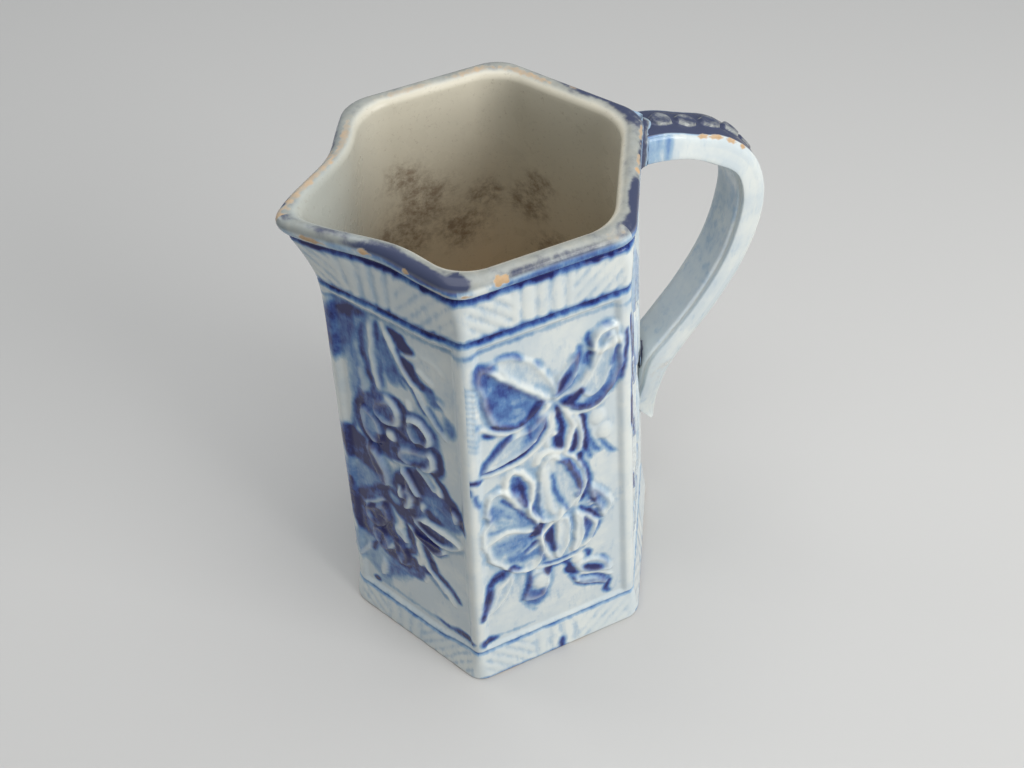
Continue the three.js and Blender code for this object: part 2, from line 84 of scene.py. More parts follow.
# Section of a wall: its thickness, the sunk panel and its lines, and the foot
WALL = 4.2
RIM_WALL = 4.9
PANEL_SINK = 1.0
RIB_WIDTH = 2.2
RIB_FALL = 2.2
LINE_GROOVE = 0.5
LINE_HALF_WIDTH = 0.9
FOOT_FLARE = 1.79
FOOT_EDGE = 1.2

# Radii of the corners. Each turns by HALF_TURN on both sides of its mitre, where its skin lies in
# by CORNER_DEPTH of the radius
OUTER_CORNER = 2.6
FOOT_CORNER = 7
RIM_CORNER = 7.0
SPOUT_OUTER_CORNER = 4.5
INNER_CORNER = 13
SPOUT_INNER_CORNER = 6
HALF_TURN = math.pi / 6
CORNER_DEPTH = 1 - math.cos(HALF_TURN)

# How the lip is drawn out around the spout's corner, with a pinch on both sides
SPOUT_REACH = 7.5
SPOUT_RISE = 1.8
SPOUT_START = 140
SPOUT_SPREAD = 16
SPOUT_OUT_CURVE = 2.1
SPOUT_UP_CURVE = 3
SPOUT_PINCH = 1.8
PINCH_PLACE = 21
PINCH_SPREAD = 9

# The roll of the rim: its middle and half sizes
ROLL_DEPTH = 2.25
ROLL_HALF_DEPTH = 2.65
ROLL_HALF_HEIGHT = 2.6
ROLL_MIDDLE = HEIGHT - ROLL_HALF_HEIGHT

# The base slab: its columns along each wall, its lap into them, the dish of its floor, the cove up to
# the walls and the hollow underneath
BASE_THICKNESS = 6
BASE_COLUMNS = 17
BASE_LAP = 0.1
FLOOR_DISH = 0.5
COVE_HEIGHT = 3.4
UNDER_HOLLOW = 0.5

# The strap handle: both outlines from the rim to the tail, its widths and the form of its section
HANDLE_OUTER = [
    (38, 166.9), (48.2, 165.6), (57.8, 161.9), (67, 158), (76.1, 149.5), (81.7, 137.7), (82.9, 124.3),
    (79.4, 108.3), (71.1, 91.6), (62.1, 78.4), (57.4, 69.3), (55.7, 58), (55.8, 48.5), (55.9, 41.5),
]
HANDLE_INNER = [
    (38, 157), (47.1, 155.9), (54.5, 154), (61.9, 149.6), (69.2, 144), (72, 136.3), (71.9, 127.1),
    (69.1, 113.6), (61.8, 99), (54.2, 88.5), (48, 80), (47, 66), (47, 52), (54, 41.5),
]
HANDLE_WIDTH = 15.3
TAIL_WIDTH = 5
TAIL_START = 0.74
STRAP_NARROWING = 0.2
STRAP_HOLLOW = 0.9
STRAP_SQUARENESS = 0.42

# Where the strap meets the body, as places t along it, and how the slip laps onto both
UPPER_JOINT_END = 0.16
LOWER_JOINT = 0.775
LOWER_JOINT_REACH = 0.16
SLIP_LAP = 0.12
SLIP_DEPTH = 0.8

# How far the handle's skin lies inside the solid's, and the row of scales that stands out from it
STRAP_SINK = 0.25
SCALE_COUNT = 9
FIRST_SCALE = 6.6
SCALE_PITCH = 8.05
SCALE_HALF_WIDTH = 2.5

# Widths of a wall: half way up, where its columns are counted, and at the band, where its lines sag
MIDDLE_WIDTH = 46
BAND_WIDTH = 44

# The flowers of the spout walls lean with the mould: shift, spread, tilt and drop
LEAN_SHIFT = 1.08
LEAN_SPREAD = 0.027
LEAN_TILT = 0.052
LEAN_DROP = 1.2

# How much light the glaze bends, and how much it throws back
GLAZE_IOR = 1.52
GLAZE_SPECULAR = 0.22

# How far the glaze softens the relief and its colours, and how wide a hollow it fills, in mesh cells
RELIEF_BLUR = 0.8
HOLLOW_BLUR = 4.5
COBALT_BLUR = 1.1
CREAM_BLUR = 1.0


def mix(a, b, t):
    """a where t is 0, b where it is 1"""
    return a + (b - a) * t


def smooth(t):
    """A soft step from 0 to 1 while t goes from 0 to 1"""
    t = np.clip(t, 0.0, 1.0)
    return t * t * (3 - 2 * t)


def bump(distance, width):
    """1 on a line, falling to 0 at a distance of width from it"""
    return 1 - smooth(np.abs(distance) / width)


# The body's plan, as the frame has it

def corners_at(z):
    """The six corners at heights z, counter-clockwise from the spout, as an array (6, heights, 2)"""
    t = np.minimum(1.0, (z - FOOT_LINE) / (BAND_LINE - FOOT_LINE))
    at = {key: mix(FOOT_PLAN[key], BAND_PLAN[key], t) for key in FOOT_PLAN}
    none = np.zeros_like(t)
    return np.stack([
        np.stack([at["spout"], none], -1),
        np.stack([at["back"], -at["side"]], -1),
        np.stack([at["front"], -at["side"]], -1),
        np.stack([at["handle"], none], -1),
        np.stack([at["front"], at["side"]], -1),
        np.stack([at["back"], at["side"]], -1),
    ])


def half_cot(corners, i):
    """Cotangent of half the angle at corner i, which gives its mitre plane"""
    here = corners[i % 6]
    before = corners[(i - 1) % 6] - here
    after = corners[(i + 1) % 6] - here
    dot = (before * after).sum(-1)
    cross = np.abs(before[:, 0] * after[:, 1] - before[:, 1] * after[:, 0])
    return (np.hypot(*before.T) * np.hypot(*after.T) + dot) / cross


def side_at(corners, k):
    """Start, direction, inward normal and length of side k at each height"""
    start = corners[k]
    side = corners[(k + 1) % 6] - start
    length = np.hypot(*side.T)[:, None]
    direction = side / length
    inward = np.stack([-direction[:, 1], direction[:, 0]], -1)
    return start, direction, inward, length


def corner_fill(radius, e):
    """How far a corner of this radius lies inside the sharp one, at distance e along the side"""
    reach = np.clip(radius * math.tan(HALF_TURN) - e, 0, None)
    return radius - np.sqrt(np.clip(radius ** 2 - reach ** 2, 0, None))


def draw_spout(points):
    """The lip is drawn out towards -X and a little up around the spout's corner"""
    along = np.abs(points[..., 1]) / math.cos(HALF_TURN)
    spread = np.exp(-((along / SPOUT_SPREAD) ** 2)) * (points[..., 0] < 0)
    climb = np.clip((points[..., 2] - SPOUT_START) / (HEIGHT - SPOUT_START), 0, 1)
    pinched = np.exp(-(((along - PINCH_PLACE) / PINCH_SPREAD) ** 2)) * (points[..., 0] < 0)
    points[..., 0] += (SPOUT_PINCH * pinched - SPOUT_REACH * spread) * climb ** SPOUT_OUT_CURVE
    points[..., 2] += SPOUT_RISE * spread * climb ** SPOUT_UP_CURVE
    return points


class Section:
    """The rows of a wall, from the foot's outer edge over the rim and down to the inner floor"""

    def __init__(self, spacing):
        edge = [0, 0.12, 0.35, 0.7, FOOT_EDGE]
        outer = np.concatenate([edge, np.arange(FOOT_EDGE + spacing, RIM_LINE + 0.3, spacing)])
        turn = np.radians(np.arange(-50, 181, 8))
        inner = np.array([
            166.4, 165, 163, 160, 157, 153.5, 150, 146, 142, 137, *range(130, 9, -8), 8, 6.5, 6, 3, 0,
        ])
        self.outer_rows = len(outer)
        self.roll = slice(len(outer), len(outer) + len(turn))
        self.turn = turn
        self.z = np.concatenate([outer, ROLL_MIDDLE + ROLL_HALF_HEIGHT * np.sin(turn), inner])
        flare = np.where(outer < FOOT_LINE, -FOOT_FLARE * (1 - outer / FOOT_LINE), 0)
        round_in = np.clip(FOOT_EDGE - outer, 0, None)
        rounding = FOOT_EDGE - np.sqrt(FOOT_EDGE ** 2 - round_in ** 2)
        roll = ROLL_DEPTH - ROLL_HALF_DEPTH * np.cos(turn)
        thick = mix(WALL, RIM_WALL, smooth((inner - 150) / (RIM_LINE - 150)))
        self.depth = np.concatenate([flare + rounding, roll, thick])
        # How far a row is over the roll, from 0 outside to 1 inside. Over its top the lining's share
        # stays at a half
        over = np.concatenate([outer * 0, (turn - turn[0]) / (turn[-1] - turn[0]), inner * 0 + 1])
        self.inside = 0.5 * smooth((over - 0.2) / 0.25) + 0.5 * smooth((over - 0.6) / 0.3)
        to_rim = smooth((self.z - 158) / 9)
        to_foot = smooth(1 - self.z / FOOT_LINE)
        outside = mix(mix(OUTER_CORNER, RIM_CORNER, to_rim), FOOT_CORNER, to_foot)
        self.radius = mix(outside, INNER_CORNER, smooth(over))
        spout_outside = mix(SPOUT_OUTER_CORNER, FOOT_CORNER, to_foot)
        self.spout_radius = mix(spout_outside, SPOUT_INNER_CORNER, smooth(over))


def columns_across(width, spacing):
    """Places across a wall as shares of its width, with a few narrow columns at both mitres"""
    near = np.array([0, 0.1, 0.35, 0.7, 1.05]) / width
    middle = np.linspace(near[-1], 1 - near[-1], round(width / spacing))
    return np.concatenate([near[:-1], middle, 1 - near[:-1][::-1]])


class WallGrid:
    """The places of one wall's skin: rows of the section by columns across"""

    def __init__(self, k, section, spacing):
        self.k = k
        z = section.z
        self.outer = np.arange(len(z))[:, None] < section.outer_rows
        corners = corners_at(z)
        self.start, self.direction, self.inward, self.length = side_at(corners, k)
        ends = []
        for i in (k, k + 1):
            radius = section.spout_radius if i % 6 == 0 else section.radius
            groove = self.grooves(np.full((len(z), 1), (i - k - 0.5) * BAND_WIDTH), z[:, None])
            ends.append((radius[:, None], section.depth[:, None] + groove, half_cot(corners, i)[:, None]))
        first, last = [(base + radius * CORNER_DEPTH) * cot for radius, base, cot in ends]
        share = columns_across(MIDDLE_WIDTH, spacing)[None, :]
        self.along = mix(first, self.length - last, share)
        self.off_mitre = np.minimum(self.along, self.length - self.along)
        self.u = self.along - self.length / 2
        self.z = np.broadcast_to(z[:, None], self.u.shape)
        fill = 0
        for (radius, base, cot), e in zip(ends, (self.along, self.length - self.along)):
            fill = fill + corner_fill(radius, e - base * cot)
        grooves = self.grooves(self.u, self.z)
        self.depth = section.depth[:, None] + fill + grooves + self.panel_sink()

    def towards_spout(self, u):
        """Share of a sag that shows at u: none on walls away from the spout"""
        if self.k not in SPOUT_WALLS:
            return np.zeros_like(u)
        return smooth((22 - (u if self.k == 0 else -u)) / 14)

    def art_height(self, u, z):
        """Height at which the mould's lines would lie if they ran level"""
        sag = self.towards_spout(u)
        low = FOOT_SAG * sag * smooth((40 - z) / 22)
        return z + low + BAND_SAG * sag * smooth((z - 130) / 16) * smooth((RIM_LINE - z) / 12)

    def grooves(self, u, z):
        """The fine grooves above the foot, under the band and under the rim, for whole rows"""
        art = self.art_height(u, z)
        total = 0
        for line in (FOOT_LINE, BAND_LINE, RIM_LINE):
            total = total + LINE_GROOVE * (1 - np.clip(np.abs(art - line) / LINE_HALF_WIDTH, 0, 1))
        return total * self.outer

    def panel_sink(self):
        """How far the panel lies in between the ribs of the corners"""
        art = self.art_height(self.u, self.z)
        across = smooth((self.off_mitre - RIB_WIDTH) / RIB_FALL)
        from_bottom = smooth((art - PANEL_BOTTOM + RIB_FALL) / RIB_FALL)
        from_top = smooth((PANEL_TOP + RIB_FALL - art) / RIB_FALL)
        return PANEL_SINK * across * (from_bottom * from_top) * self.outer

    def places(self, relief):
        """Points of the skin, in millimetres, with the relief standing out from it"""
        depth = self.depth.copy()
        depth[: relief.shape[0]] -= relief
        flat = (
            self.start[:, None, :]
            + self.direction[:, None, :] * self.along[..., None]
            + self.inward[:, None, :] * depth[..., None]
        )
        return draw_spout(np.concatenate([flat, self.z[..., None]], -1))


# Modelling and painting a face: lobes, ridges, strokes and beads in (u, z)

def spline(points, closed=False, steps=6):
    """Points of a smooth curve through the given ones"""
    p = np.array(points, float).reshape(-1, 2)
    if closed:
        p = np.concatenate([p[-1:], p, p[:2]])
    else:
        p = np.concatenate([2 * p[:1] - p[1:2], p, 2 * p[-1:] - p[-2:-1]])
    t = np.linspace(0, 1, steps, endpoint=False)[:, None]
    spans = []
    for a, b, c, d in zip(p, p[1:], p[2:], p[3:]):
        second, third = 2 * a - 5 * b + 4 * c - d, 3 * b - a - 3 * c + d
        spans.append(0.5 * (2 * b + (c - a) * t + second * t ** 2 + third * t ** 3))
    return np.concatenate(spans if closed else spans + [p[-2:-1]])


def blurred(field, cells):
    """A field softened over a number of grid cells"""
    reach = int(3 * cells) + 1
    weight = np.exp(-0.5 * (np.arange(-reach, reach + 1) / cells) ** 2)
    weight /= weight.sum()
    for axis in (0, 1):
        pad = [(reach, reach) if a == axis else (0, 0) for a in (0, 1)]
        wide = np.pad(field, pad, mode="edge")
        size = field.shape[axis]
        field = sum(w * wide.take(range(i, i + size), axis) for i, w in enumerate(weight))
    return field


class Face:
    """Relief in millimetres and paint from 0 to 1 over the outer face of one wall"""

    def __init__(self, grid, k):
        rows = grid.outer.sum()
        u = grid.u[:rows] * (-1 if k > 2 else 1)
        z = grid.z[:rows]
        self.u, self.z = u, z
        self.art = grid.art_height(grid.u[:rows], z)
        self.off_mitre = grid.off_mitre[:rows]
        # The modeller's hand wavers a little, and on the spout walls it leans and lays on more cobalt
        lean = 1 if k in SPOUT_WALLS else 0
        self.hold = 0.8 if lean else 0.9
        self.hand_u = (
            (u - LEAN_SHIFT * lean) / (1 - LEAN_SPREAD * lean)
            + 0.14 * np.sin(z * 0.83 + 2 * np.sin(u * 0.31)) + 0.08 * np.sin(z * 2.3 + u * 0.9)
        )
        self.hand_z = (
            z + lean * (LEAN_TILT * u - LEAN_DROP)
            + 0.14 * np.sin(u * 0.71 + 2 * np.sin(z * 0.27)) + 0.08 * np.sin(u * 2.1 - z * 0.8)
        )
        self.level, self.rise, self.cobalt, self.cream = (np.zeros(u.shape) for _ in range(4))

    def near(self, curve, reach, closed=False):
        """The part of the face near a curve: its window, the distance and the share along the curve,
        and for a closed curve a distance that is positive inside"""
        low = curve.min(0) - reach
        high = curve.max(0) + reach
        hit = (self.hand_u >= low[0]) & (self.hand_u <= high[0])
        hit &= (self.hand_z >= low[1]) & (self.hand_z <= high[1])
        rows = np.flatnonzero(hit.any(1))
        columns = np.flatnonzero(hit.any(0))
        window = (slice(rows[0], rows[-1] + 1), slice(columns[0], columns[-1] + 1))
        x = self.hand_u[window].ravel()[:, None]
        y = self.hand_z[window].ravel()[:, None]
        a = curve
        b = np.roll(curve, -1, 0) if closed else curve[1:]
        a = a if closed else curve[:-1]
        side = b - a
        long2 = (side ** 2).sum(1) + 1e-12
        along = np.clip(((x - a[:, 0]) * side[:, 0] + (y - a[:, 1]) * side[:, 1]) / long2, 0, 1)
        far2 = (x - a[:, 0] - along * side[:, 0]) ** 2 + (y - a[:, 1] - along * side[:, 1]) ** 2
        best = far2.argmin(1)
        pick = (np.arange(len(best)), best)
        distance = np.sqrt(far2[pick])
        share = (best + along[pick]) / len(a)
        if closed:
            crosses = (a[:, 1] > y) != (b[:, 1] > y)
            at = a[:, 0] + (y - a[:, 1]) * side[:, 0] / np.where(side[:, 1] == 0, 1e-9, side[:, 1])
            odd = (crosses & (x < at)).sum(1) % 2 == 1
            distance = np.where(odd, distance, -distance)
        shape = self.u[window].shape
        return window, distance.reshape(shape), share.reshape(shape)

    def lobe(self, *points, level=0.9, blue=None, cream=0.0, dish=0.3, rim=0.35, edge=1.1):
        """A petal or leaf: raised over what lies under it, with a rim and a dished middle"""
        window, inside, _ = self.near(spline(points, True), 0.5, True)
        over = smooth(inside / 0.5)
        raised = level * np.sqrt(smooth(inside / edge)) + rim * bump(inside - 0.8, 0.8)
        raised -= dish * smooth((inside - 0.9) / 2.2)
        self.level[window] = mix(self.level[window], raised, over)
        self.rise[window] *= 1 - over
        paint = smooth(inside / 1.4)
        if blue is not None:
            self.cobalt[window] = mix(self.cobalt[window], blue, paint)
        edge_cream = cream * bump(inside - 0.6, 1.0)
        self.cream[window] = mix(self.cream[window], edge_cream, paint)

    def wash(self, *points, blue=0.5, soft=1.2):
        """Cobalt laid over an area, with soft edges"""
        window, inside, _ = self.near(spline(points, True), soft, True)
        over = smooth(inside / soft + 0.5)
        self.cobalt[window] = mix(self.cobalt[window], blue, over)
        self.cream[window] *= 1 - over

    def ridge(self, *points, wide=1.6, high=0.7, cream=0.8, blue=0.0, taper=0.12):
        """A raised roll of clay along a line, with the glaze thin on its crest"""
        window, distance, share = self.near(spline(points), wide)
        half = wide / 2
        ends = smooth(share / taper + 0.25) * smooth((1 - share) / taper + 0.25)
        dome = np.sqrt(np.clip(1 - (distance / half) ** 2, 0, 1)) * ends
        self.rise[window] = np.maximum(self.rise[window], high * dome)
        crest = (1 - smooth((distance - 0.3 * half) / (0.9 * half))) * ends
        self.cobalt[window] = mix(self.cobalt[window], blue, crest)
        self.cream[window] = mix(self.cream[window], cream, crest)

    def stroke(self, *points, wide=1.2, blue=0.9, cut=0.18):
        """A brush stroke of cobalt in a shallow hollow, thinner at both ends"""
        window, distance, share = self.near(spline(points), wide)
        half = wide / 2 * (0.4 + 0.6 * np.sqrt(np.clip(np.sin(math.pi * share), 0, 1))) + 0.15
        over = 1 - smooth((distance / half - 0.35) / 0.95)
        self.cobalt[window] = np.maximum(self.cobalt[window], blue * over)
        self.cream[window] *= 1 - over
        self.rise[window] -= cut * over

    def bead(self, u, z, across=1.2, up=None, high=0.8, cream=0.8, blue=0.0):
        """A round or oval drop of clay"""
        up = up or across
        turn = np.linspace(0, 2 * math.pi, 16, endpoint=False)
        ring = np.stack([u + across * np.cos(turn), z + up * np.sin(turn)], -1)
        window, _, _ = self.near(ring, 0.6, True)
        far = np.hypot((self.hand_u[window] - u) / across, (self.hand_z[window] - z) / up)
        dome = np.sqrt(np.clip(1 - far ** 2, 0, 1))
        over = 1 - smooth((far - 0.7) / 0.45)
        self.rise[window] = np.maximum(self.rise[window], high * dome)
        self.cobalt[window] = mix(self.cobalt[window], blue, over)
        self.cream[window] = mix(self.cream[window], cream, over)

    def reeds(self, low, high, middle, half, pitch, side_pitch, depth):
        """A reeded band: upright in the middle and leaning outwards at both sides. The valleys are cut
        into the wall, and they are returned as 1 at their bottom and 0 on the crowns."""
        from_middle = self.u - middle
        upright = np.abs(from_middle) < half
        lean = (np.abs(from_middle) - half - (self.art - low)) / side_pitch
        place = np.where(upright, from_middle / pitch, lean)
        crown = np.sqrt(np.abs(np.cos(math.pi * place)))
        ends = smooth((self.art - low) / 1.2) * smooth((high - self.art) / 1.2) * self.off_corners(1.2)
        self.rise -= depth * (1 - crown) * ends
        self.cream = np.maximum(self.cream, 0.4 * crown ** 3 * ends)
        self.cobalt = np.maximum(self.cobalt, 0.1 * (1 - crown) * ends)
        return 1 - crown

    def off_corners(self, room):
        """1 on the face, 0 at its corners"""
        return smooth((self.off_mitre - room) / 1.5)

    def line(self, height, wide, blue, teeth=0.0, valley=0.0, low=-30, high=30):
        """A level line of cobalt between u low and u high, which runs into the valleys of the reeds by
        the length of teeth"""
        wobble = 0.25 * np.sin(self.u * 0.9) + 0.2 * np.sin(self.u * 2.3 + 1)
        from_line = self.art - height - wobble * 0.6
        reach = np.where(from_line * teeth > 0, abs(teeth) * valley, 0)
        over = 1 - smooth((np.abs(from_line) - reach) / (wide / 2) - 0.5)
        over = over * smooth((self.u - low) / 3) * smooth((high - self.u) / 3)
        self.cobalt = np.maximum(self.cobalt, blue * over * (0.85 + 0.15 * np.sin(self.u * 0.45 + 2)))
        self.cream *= 1 - over

    def finished(self):
        """Relief, cobalt and cream after the glaze has softened the relief and run into its hollows"""
        relief = blurred(self.level + self.rise, RELIEF_BLUR)
        hollow = blurred(relief, HOLLOW_BLUR) - relief
        cobalt = np.clip(self.cobalt, 0, 1) ** self.hold
        pooled = 0.28 * smooth((hollow - 0.06) / 0.4)
        cobalt = np.clip(np.maximum(cobalt, pooled * (1 - self.cream)), 0, 1)
        thinned = 0.7 * smooth((-hollow - 0.05) / 0.3)
        cream = np.clip(np.maximum(self.cream, thinned) * (1 - cobalt), 0, 1)
        return relief, blurred(cobalt, COBALT_BLUR), blurred(cream, CREAM_BLUR)


def banding(face, k):
    """What every face has: reeded bands, cobalt lines and the corner ribs"""
    middle = -5 if k in SPOUT_WALLS else -1
    low, high = BAND_LINE + 0.6, RIM_LINE - 0.4
    valley = face.reeds(low, high, middle, half=7.5, pitch=3.7, side_pitch=4.2, depth=0.4)
    face.reeds(0.8, FOOT_LINE - 0.8, middle, half=8, pitch=4.6, side_pitch=5.0, depth=0.26)
    uneven = 0.5 + 0.5 * np.sin(face.u * 0.6 + k) * np.sin(face.u * 0.23 + 1)
    face.line(RIM_LINE + 0.2, wide=2.0, blue=1.0, teeth=-2.6, valley=valley ** 2 * uneven)
    face.line(BAND_LINE + 0.1, wide=2.0, blue=0.9, teeth=1.0, valley=valley ** 2)
    face.line(PANEL_TOP - 0.4, wide=1.0, blue=0.5, high=-2)
    face.line(PANEL_TOP - 0.4, wide=1.0, blue=0.22, low=-5)
    face.line(FOOT_LINE, wide=1.1, blue=0.6)
    face.line(0.8, wide=0.9, blue=0.7, high=4)
    panel = smooth((face.z - 18) / 3) * smooth((146 - face.z) / 3)
    face.cream = np.maximum(face.cream, 0.75 * bump(face.off_mitre - 1.3, 1.6) * panel)


def peony_face(f):
    """The long side walls: leaves and a bud over a full peony, with leaves below it"""
    # Ticks pressed in along the left rib, with a little cobalt in them that is partly painted shade in the
    # notches
    for i in range(12):
        z = 113.5 + 2.1 * i
        f.stroke(-22.8, z + 1.4, -19.8, z - 1.2, wide=1.0, blue=0.14, cut=0.45)
    # Upper leaf: pale upper half, mottled blue lower half and a thin cream midrib
    f.lobe(-17, 142.4, -10.5, 143, -5, 140, -2.2, 136, 0.6, 131, 2, 126, 0.6, 122.5, -3.5, 125.5, -9, 132,
           -13, 138, level=0.5, blue=0.04)
    f.stroke(-13.5, 142.6, -11, 143, -8.6, 142.2, -6.6, 140, wide=1.5, blue=0.55)
    f.stroke(-3.6, 138, -2.8, 136.8, -2, 135.4, wide=1.3, blue=0.45)
    f.stroke(-0.4, 133, 0.6, 130.6, wide=1.0, blue=0.25)
    f.lobe(-18, 142.4, -14.7, 140.5, -11, 135.5, -5, 128.5, 0, 122.2, -2.2, 120.8, -4, 118.8, -7, 116.6,
           -10, 116, -13.2, 117.4, -15.8, 120, -17.6, 124.5, -18.5, 131, -19.4, 138, level=0.75, blue=0.34,
           dish=0.45)
    f.wash(-19.6, 142.4, -15.4, 141.6, -13, 137, -10, 132.6, -8.4, 129, -10.4, 127.4, -13, 129.6,
           -15.4, 126, -17.6, 124, -18.6, 131, blue=0.56, soft=2.6)
    f.stroke(-18, 142, -17.4, 137, -16.8, 131, -16.2, 125, -15.4, 120.6, wide=4.4, blue=0.36, cut=0.05)
    f.wash(-19, 142.6, -14.4, 142, -14.4, 138.4, -17, 135.4, -19, 137, blue=0.66, soft=2.4)
    f.stroke(-15.8, 139.8, -12.6, 135.6, -9.6, 131.4, -6, 127.6, -2.6, 124.4, wide=1.8, blue=0.6)
    for points in (
        (-14.8, 131, -12.8, 126.8, -9.4, 124.4, -6, 124.2), (-16, 126, -13, 122.4, -8.8, 120.6, -5.6, 121.4),
        (-12, 133, -10.6, 129.8, -8.8, 128.4), (-10.4, 128.6, -11.2, 126, -12.8, 124.2),
    ):
        f.stroke(*points, wide=1.1, blue=0.5, cut=0.12)
    f.stroke(-15.4, 119.8, -12.6, 117.6, -9.6, 116.9, -6.6, 117.7, -4.2, 120, -3, 122.4, -1.8, 124.4,
             wide=3.6, blue=0.9)
    f.ridge(-15.8, 140.4, -14.2, 139, -12.3, 136.8, -10, 134.1, -7.5, 131.2, -5, 128.5, -2.4, 125.6,
            0.2, 122.2, wide=1.3, high=0.8, cream=0.9)
    f.stroke(-20.2, 122.6, -18.8, 120.8, wide=1.2, blue=0.5, cut=0.2)
    f.stroke(-18.6, 118, -17.2, 116.8, -15.4, 115.8, wide=2.0, blue=0.72)
    f.ridge(-19.6, 121.6, -17.8, 119.4, -15, 116.9, -12.4, 115.4, -9.7, 115, -6.4, 116,
            wide=1.5, high=0.7, cream=0.75)
    f.ridge(-5.4, 114.8, -3.4, 116.8, -1.6, 118.8, 0, 121.2, wide=1.9, high=0.7, cream=0.85)
    # Second leaf stroke, up to the right
    f.lobe(0.5, 122, 1.2, 127, 3, 131.5, 8, 136, 8.6, 131, 7.6, 126.6, 3.6, 122.5, level=0.8, blue=0.3)
    f.stroke(1.4, 124, 3.4, 126.8, 5.6, 129.6, 7.2, 132.4, 8.2, 135, wide=4.4, blue=0.66)
    f.stroke(2.6, 123, 5.4, 124.8, 7.4, 127.4, wide=2.2, blue=0.42)
    f.ridge(1, 124, 1.6, 127.6, 2.6, 131, wide=1.3, high=0.3, cream=0.35, blue=0.1)
    # Lower pointed leaf
    f.lobe(-20.7, 103.4, -17, 107.6, -12.8, 112.8, -9.8, 114, -5.4, 115, -1.6, 118.6, -0.6, 116, -1.8, 112,
           -4, 108.4, -8.6, 105, -13, 103.6, -17.4, 103, level=0.8, blue=0.1, cream=0.2)
    f.wash(-6.8, 116, -2, 117.8, -1.4, 113, -4.4, 108, -8.8, 105.4, -7.4, 110, blue=0.4, soft=2.2)
    f.stroke(-20.4, 103.8, -17.2, 107.8, -13.6, 112, -10.8, 114.2, wide=2.0, blue=0.8)
    f.stroke(-12.8, 112.6, -11.4, 113.6, wide=2.0, blue=0.9)
    f.stroke(-6, 116, -5.8, 112, -4.6, 108.8, wide=1.6, blue=0.62)
    f.stroke(-20.4, 103.2, -15, 103, -9, 104.4, -4.6, 107.6, -2, 111.8, -0.8, 116.8, wide=2.0, blue=0.8)
    # Painted highlight: a small raised drop in full cream on the dark spot
    f.bead(-4.4, 108.9, 0.7, high=0.4, cream=0.9)
    f.ridge(-16.4, 105.6, -11.5, 108.4, -8.4, 111.4, wide=1.1, high=0.35, cream=0.35, blue=0.06)
    f.stroke(-24, 101.8, -21.8, 101, -20.2, 100.4, wide=2.2, blue=0.85)
    f.stroke(-24.4, 99, -23.6, 96, wide=1.6, blue=0.5)
    f.ridge(-20.4, 101.8, -15.5, 101, -10, 101.6, -6.2, 103.2, -3.2, 105.8, -0.4, 110, 0.9, 115, 0.8, 118,
            wide=1.5, high=0.6, cream=0.85)
    # Bud on the right
    f.lobe(2.8, 119.4, 5, 116.4, 8, 114, 12, 113.4, 15.4, 115.2, 18.2, 118.6, 20, 124, 20.4, 131, 19.6, 137,
           18.6, 142, 13.6, 141.4, 10.5, 137.5, 11.4, 132, 8.2, 125.5, 6, 122.4, level=1.0, blue=0.1,
           dish=0.1)
    f.lobe(8, 121.6, 10, 127, 12.6, 132.4, 14.4, 138, 17.6, 140.5, 18.6, 134, 17.6, 127, 15, 120.6,
           11.4, 118, level=1.3, blue=0.07)
    f.wash(17, 131, 20, 131, 20.2, 124, 17.6, 118.6, 13, 115.8, 9, 116.4, 12, 119, 16, 122.6, blue=0.52,
           soft=2.2)
    f.stroke(4.4, 119.2, 6.4, 116.6, 8.8, 115.2, 12, 115, 15.3, 116.6, 17.6, 119.2, 19.2, 122.6, 19.8, 127,
             wide=2.6, blue=0.72)
    f.stroke(6, 117.6, 8.6, 115.8, 11, 115.4, wide=2.6, blue=0.9)
    # Painted shadow: full cobalt in the dark wedge under the bud's lower edge
    f.wash(3, 119.8, 5.6, 121.4, 8.8, 123.6, 9.6, 121.8, 7.4, 118.8, 5.4, 117.8, blue=1.0, soft=0.9)
    f.ridge(2, 119.6, 4.5, 115.4, 7.4, 113.4, 10.7, 112.8, 13.8, 113.7, 16.6, 115.6, wide=1.5, high=0.7,
            cream=0.85)
    f.ridge(1.6, 121.2, 4, 121.9, 6.4, 122.9, 8.2, 124.8, wide=0.9, high=0.6, cream=0.7)
    f.ridge(12.2, 134.4, 12.4, 138.3, 14.4, 140.6, 18.6, 141.4, wide=1.9, high=0.8, cream=1)
    f.ridge(12.4, 134.2, 15.6, 134.8, 19.4, 136.6, wide=2.2, high=0.6, cream=0.9)
    f.bead(15.8, 138.4, 1.9, 1.4, high=0.5, cream=0.2, blue=0.12)
    f.stroke(15.2, 138.2, 16.6, 139.4, wide=0.9, blue=0.45)
    f.stroke(13.6, 142, 15.4, 142.2, 17.2, 142, wide=0.6, blue=0.6)
    f.stroke(10.8, 141, 10.8, 138.8, 11.2, 136.8, wide=2.0, blue=0.66)
    f.stroke(8.4, 137.4, 9.2, 135.8, wide=1.5, blue=0.5)
    f.stroke(11.6, 134.4, 10.6, 132.6, 10.2, 130.6, wide=2.2, blue=0.72)
    f.stroke(11.2, 131.6, 11, 129, wide=1.6, blue=0.45)
    f.stroke(18.9, 134.2, 18, 131.2, 16.7, 128, wide=1.4, blue=0.8)
    f.stroke(21.2, 139, 21.2, 134, 21, 128, 20.4, 121.4, wide=1.0, blue=1.0, cut=0.3)
